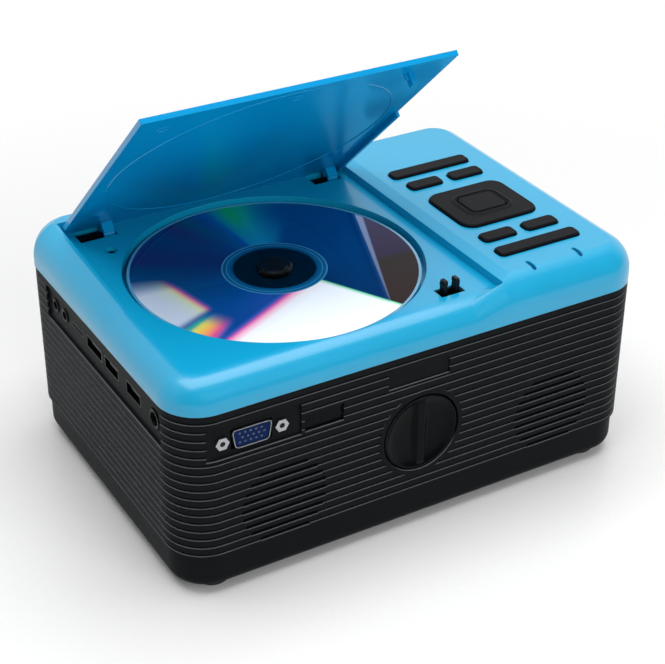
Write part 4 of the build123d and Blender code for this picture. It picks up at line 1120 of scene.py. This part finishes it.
@dataclass
class SideSockets:
    """Fine parts of the sockets on the left face."""

    maker: Maker
    left_x: float = -107.5
    recess: float = 1.3
    port_z: float = 74.6
    jack_y: Point = (43.4, 33.6)
    power_y: float = -53.8
    usb_y: Point = (-13.4, -34.0)

    def build(self) -> None:
        """Builds jack collars, contact springs and the power socket's collar."""
        face = self.left_x + self.recess
        for index, y in enumerate(self.jack_y):
            collar = lathe([(1.8, -1.5), (1.8, 0.35), (2.0, 0.55), (2.7, 0.55), (3.0, 0.3), (3.0, -1.5)], 48)
            self.maker.piece(f"audio_collar_{index + 1}", collar, "black_abs_gloss", "casing",
                             "inner_plastic", facing("left", (face, y, self.port_z)))
            spring = lathe([(1.55, -5.5), (1.55, -2.2), (1.74, -1.9), (1.74, -5.5)], 32)
            self.maker.piece(f"audio_contact_{index + 1}", spring, "gilt_contacts", "casing",
                             "socket_metal", facing("left", (face, y, self.port_z)))
        contacts = bmesh.new()
        for y in self.usb_y:
            for k in range(4):
                bar((-(y + (k - 1.5) * 2.2) - 0.5, -0.85, -7.5), (-(y + (k - 1.5) * 2.2) + 0.5, -0.6, -1.4),
                    contacts)
        self.maker.piece("usb_contacts", contacts, "gilt_contacts", "casing", "socket_metal",
                         Matrix.Translation((face, 0.0, self.port_z)) @ facing("left", (0, 0, 0)))
        collar = lathe([(2.8, -2.0), (2.8, 0.4), (3.1, 0.6), (3.9, 0.6), (4.2, 0.3), (4.2, -2.0)], 48)
        self.maker.piece("power_collar", collar, "black_abs_gloss", "casing", "inner_plastic",
                         facing("left", (face, self.power_y, self.port_z)))
        pin = lathe([(0.0, -0.9), (0.7, -0.95), (1.02, -1.3), (1.02, -6.0), (0.0, -6.0)], 24)
        self.maker.piece("power_pin", pin, "zinc_plated_steel", "casing", "socket_metal",
                         facing("left", (face, self.power_y, self.port_z)))


@dataclass
class HubTrim:
    """The rings, claws and spring of the hub's cap, and the disc's stacking ring."""

    maker: Maker
    centre: Point = HUB
    disc_top: float = 95.0
    hub_up: float = 1.9
    claw_turns: tuple[float, ...] = (-40.0, 80.0, 200.0)
    spring_deg: Point = (-75.0, -48.0)

    def build(self) -> None:
        """Builds the cap's rings, the claws, the spring and the stacking ring."""
        shift = Matrix.Translation((*self.centre, 0.0))
        top = self.disc_top + self.hub_up
        rings = bmesh.new()
        for radius in (2.4, 4.3):
            ring = lathe([(radius - 0.25, top - 0.2), (radius - 0.15, top + 0.12),
                          (radius + 0.15, top + 0.12), (radius + 0.25, top - 0.2)], 48)
            join(rings, ring)
        self.maker.piece("hub_cap_rings", rings, "black_pom", "table", "inner_plastic", shift)
        for index, turn in enumerate(self.claw_turns):
            claw = bar((4.9, -0.75, top - 0.6), (7.1, 0.75, top + 0.25), taper=0.35)
            spin = shift @ Matrix.Rotation(math.radians(turn), 4, "Z")
            self.maker.piece(f"hub_claw_{index + 1}", claw, "black_pom", "table", "inner_plastic", spin, 0.12)
        wire = lathe([(5.5, top - 0.1), (5.6, top + 0.16), (5.9, top + 0.16), (6.0, top - 0.1)], 96)
        low_deg, high_deg = self.spring_deg
        spare = [face for face in wire.faces if not low_deg < math.degrees(math.atan2(
            face.calc_center_median().y, face.calc_center_median().x)) < high_deg]
        bmesh.ops.delete(wire, geom=spare, context="FACES")
        self.maker.piece("hub_spring", wire, "phosphor_bronze", "table", "steel", shift)
        low = self.disc_top - 1.2
        stack = lathe([(19.2, low + 0.1), (19.4, low - 0.22), (19.9, low - 0.22), (20.1, low + 0.1)], 128)
        self.maker.piece("disc_stacking_ring", stack, "clear_polycarbonate", "disc", "disc_plastic", shift)


@dataclass(frozen=True)
class SoftLamp:
    """A rectangular soft lamp.

    Attributes:
        name: the lamp's name.
        spot: where it hangs, in metres.
        size: its width and height in metres.
        watts: its power.
        mirrored: whether glossy faces mirror it.
    """

    name: str
    spot: tuple[float, float, float]
    size: Point
    watts: float
    mirrored: bool = True

    def hang(self, aim: Sequence[float]) -> None:
        """Hangs the lamp.

        Args:
            aim: the point it faces, in metres.
        """
        data = bpy.data.lights.new(self.name, "AREA")
        data.shape = "RECTANGLE"
        data.size, data.size_y = self.size
        data.energy = self.watts
        lamp = bpy.data.objects.new(self.name, data)
        lamp.location = self.spot
        lamp.rotation_euler = (Vector(aim) - Vector(self.spot)).to_track_quat("-Z", "Y").to_euler()
        lamp.visible_glossy = self.mirrored
        bpy.context.scene.collection.objects.link(lamp)


LAMPS = (
    SoftLamp("overhead", (0.0, 0.0, 1.15), (1.3, 0.9), 13.0),
    SoftLamp("front_fill", (0.1, -1.15, 0.7), (1.0, 0.7), 6.5, mirrored=False),
    SoftLamp("left_fill", (-1.0, -0.3, 0.6), (0.5, 0.9), 0.6, mirrored=False),
)


@dataclass
class Studio:
    """A pale floor, soft lamps and the camera of the photograph.

    Attributes:
        eye_mm: where the camera stands.
        azimuth_deg: its turn about the object, 0 from the front.
        elevation_deg: how far it stands up.
        roll_deg: its roll.
        lens_mm: focal length on a 36 mm sensor.
        floor_m: half the floor's width.
        shadow_m: distances from the object's foot where its shadow starts to fade and has gone.
        room_level: how strongly the room lights the object.
        dim_front: how bright the room's front is in a mirror.
        aim: the point the lamps face, in metres.
    """

    eye_mm: tuple[float, float, float] = (-303.60, -522.76, 416.71)
    azimuth_deg: float = -30.272
    elevation_deg: float = 31.071
    roll_deg: float = 0.276
    lens_mm: float = 88.48
    floor_m: float = 4.0
    shadow_m: Point = (0.20, 0.42)
    room_level: float = 0.35
    dim_front: float = 0.1
    aim: tuple[float, float, float] = (0.0, 0.0, 0.07)

    def floor(self) -> None:
        """Builds the floor, shaded near the object and white past its shadow."""
        mesh = bmesh.new()
        mesh.faces.new([mesh.verts.new((x * self.floor_m, y * self.floor_m, -0.0002))
                        for x, y in ((-1, -1), (1, -1), (1, 1), (-1, 1))])
        data = bpy.data.meshes.new("floor")
        mesh.to_mesh(data)
        mesh.free()
        floor = bpy.data.objects.new("floor", data)
        bpy.context.scene.collection.objects.link(floor)
        # matt white laminate
        material, tree, output = new_material("white_laminate")
        place = add_node(tree, "TexCoord").outputs["Object"]
        grain = add_node(tree, "TexNoise", None, {"Vector": place, "Scale": 400.0}).outputs[0]
        tone = blend(tree, grain, srgb("#E8E8E8"), srgb("#ECECEC"))
        shader = add_node(tree, "BsdfPrincipled", None, {
            "Base Color": tone, "Roughness": 0.35, "Specular IOR Level": 0.35})
        # past the object's shadow the floor runs on as the white of the room
        away = add_node(tree, "VectorMath", {"operation": "LENGTH"}, {0: place}).outputs["Value"]
        far = add_node(tree, "MapRange", {"interpolation_type": "SMOOTHSTEP"}, {
            "Value": away, "From Min": self.shadow_m[0], "From Max": self.shadow_m[1]}).outputs[0]
        seen = seen_by(tree, "Is Camera Ray", "Is Transmission Ray", "Is Glossy Ray")
        share = maths(tree, "MULTIPLY", far, seen)
        white = add_node(tree, "Emission", None, {"Color": WHITE, "Strength": 1.0})
        shader = add_node(tree, "MixShader", None, {0: share, 1: shader.outputs[0], 2: white.outputs[0]})
        tree.links.new(shader.outputs[0], output.inputs[0])
        data.materials.append(material)

    def world(self) -> None:
        """Builds a white room that lights the object dimly and shows white to the camera."""
        world = bpy.data.worlds.new("room")
        bpy.context.scene.world = world
        world.use_nodes = True
        tree = world.node_tree
        tree.nodes.clear()
        seen = seen_by(tree, "Is Camera Ray", "Is Transmission Ray")
        glossy = seen_by(tree, "Is Glossy Ray")
        # the room's front is open and dim, so gloss that faces it keeps the plastic's own colour
        depth = add_node(tree, "SeparateXYZ", None, {0: add_node(tree, "TexCoord").outputs["Generated"]})
        mirrored = add_node(tree, "MapRange", {"interpolation_type": "SMOOTHSTEP"}, {
            "Value": depth.outputs["Y"], "From Min": -0.45, "From Max": 0.2,
            "To Min": self.dim_front, "To Max": 1.0})
        mirrored = maths(tree, "MULTIPLY", mirrored.outputs[0], glossy)
        plain = maths(tree, "MULTIPLY", maths(tree, "SUBTRACT", 1.0, glossy), self.room_level)
        level = maths(tree, "MAXIMUM", maths(tree, "ADD", mirrored, plain), seen)
        sky = add_node(tree, "Background", None, {"Color": WHITE, "Strength": level})
        output = add_node(tree, "OutputWorld")
        tree.links.new(sky.outputs[0], output.inputs[0])

    def camera(self) -> None:
        """Stands the camera where the photograph was taken from."""
        az, el, roll = (math.radians(v) for v in (self.azimuth_deg, self.elevation_deg, self.roll_deg))
        back = Vector((math.sin(az) * math.cos(el), -math.cos(az) * math.cos(el), math.sin(el)))
        right = (-back).cross(Vector((0, 0, 1))).normalized()
        up = right.cross(-back)
        right_rolled = math.cos(roll) * right + math.sin(roll) * up
        up_rolled = -math.sin(roll) * right + math.cos(roll) * up
        matrix = Matrix((right_rolled, up_rolled, back)).transposed().to_4x4()
        matrix.translation = Vector(self.eye_mm) * MM
        data = bpy.data.cameras.new("camera")
        data.sensor_fit = "HORIZONTAL"
        data.sensor_width = 36.0
        data.lens = self.lens_mm
        data.clip_start = 0.01
        camera = bpy.data.objects.new("camera", data)
        camera.matrix_world = matrix
        bpy.context.scene.collection.objects.link(camera)
        bpy.context.scene.camera = camera

    def build(self) -> None:
        """Builds floor, room, lamps and camera."""
        self.floor()
        self.world()
        for lamp in LAMPS:
            lamp.hang(self.aim)
        self.camera()
        bpy.context.scene.view_settings.view_transform = "Standard"


def clear_polycarbonate() -> bpy.types.Material:
    """Builds clear moulded polycarbonate.

    Returns:
        The finished material.
    """
    material, tree, output = new_material("clear_polycarbonate")
    place = add_node(tree, "TexCoord").outputs["Object"]
    haze = add_node(tree, "TexNoise", None, {"Vector": place, "Scale": 90.0}).outputs[0]
    rough = add_node(tree, "MapRange", None, {"Value": haze, "To Min": 0.02, "To Max": 0.08}).outputs[0]
    gloss = add_node(tree, "BsdfGlossy", None, {"Color": srgb("#E8F4FA"), "Roughness": rough})
    through = add_node(tree, "BsdfTransparent", None, {"Color": srgb("#BFE2F2")})
    mixed = add_node(tree, "MixShader", None, {0: 0.3, 1: through.outputs[0], 2: gloss.outputs[0]})
    tree.links.new(mixed.outputs[0], output.inputs[0])
    return material


def make_materials() -> dict[str, bpy.types.Material]:
    """Builds every finish once.

    Returns:
        The materials by name.
    """
    finishes: Iterable[Any] = (
        BLUE_ABS, LID_ABS, CASE_ABS, PAN_ABS, KEY_ABS, GLOSS_ABS, POM, BLUE_PBT, LAMP_PMMA, BOARD, RUBBER,
        ALUMINA, ZINC_STEEL, BLACK_STEEL, NICKELLED, GILT, BRONZE, ALUMINIUM, CROWN_GLASS,
        DiscFilm("pressed_polycarbonate_disc", HUB))
    materials = {finish.name: finish.build() for finish in finishes}
    materials["clear_polycarbonate"] = clear_polycarbonate()
    return materials


def main() -> None:
    """Loads the frame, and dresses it."""
    logging.basicConfig(level=logging.INFO, format="%(message)s")
    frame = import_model()
    materials = make_materials()
    maker = Maker(materials)
    CarriedNodes(maker).dress(frame["nodes"])
    disc = frame["nodes"]["dvd_disc"].data
    disc.materials.clear()
    disc.materials.append(materials["pressed_polycarbonate_disc"])
    for assembly in (DiscLid(maker), DirectionPad(maker), KeystoneKnob(maker), VideoSocket(maker),
                     SideSockets(maker), HubTrim(maker), Studio()):
        LOG.info("assembly %s", type(assembly).__name__)
        assembly.build()


if __name__ == "__main__":
    main()
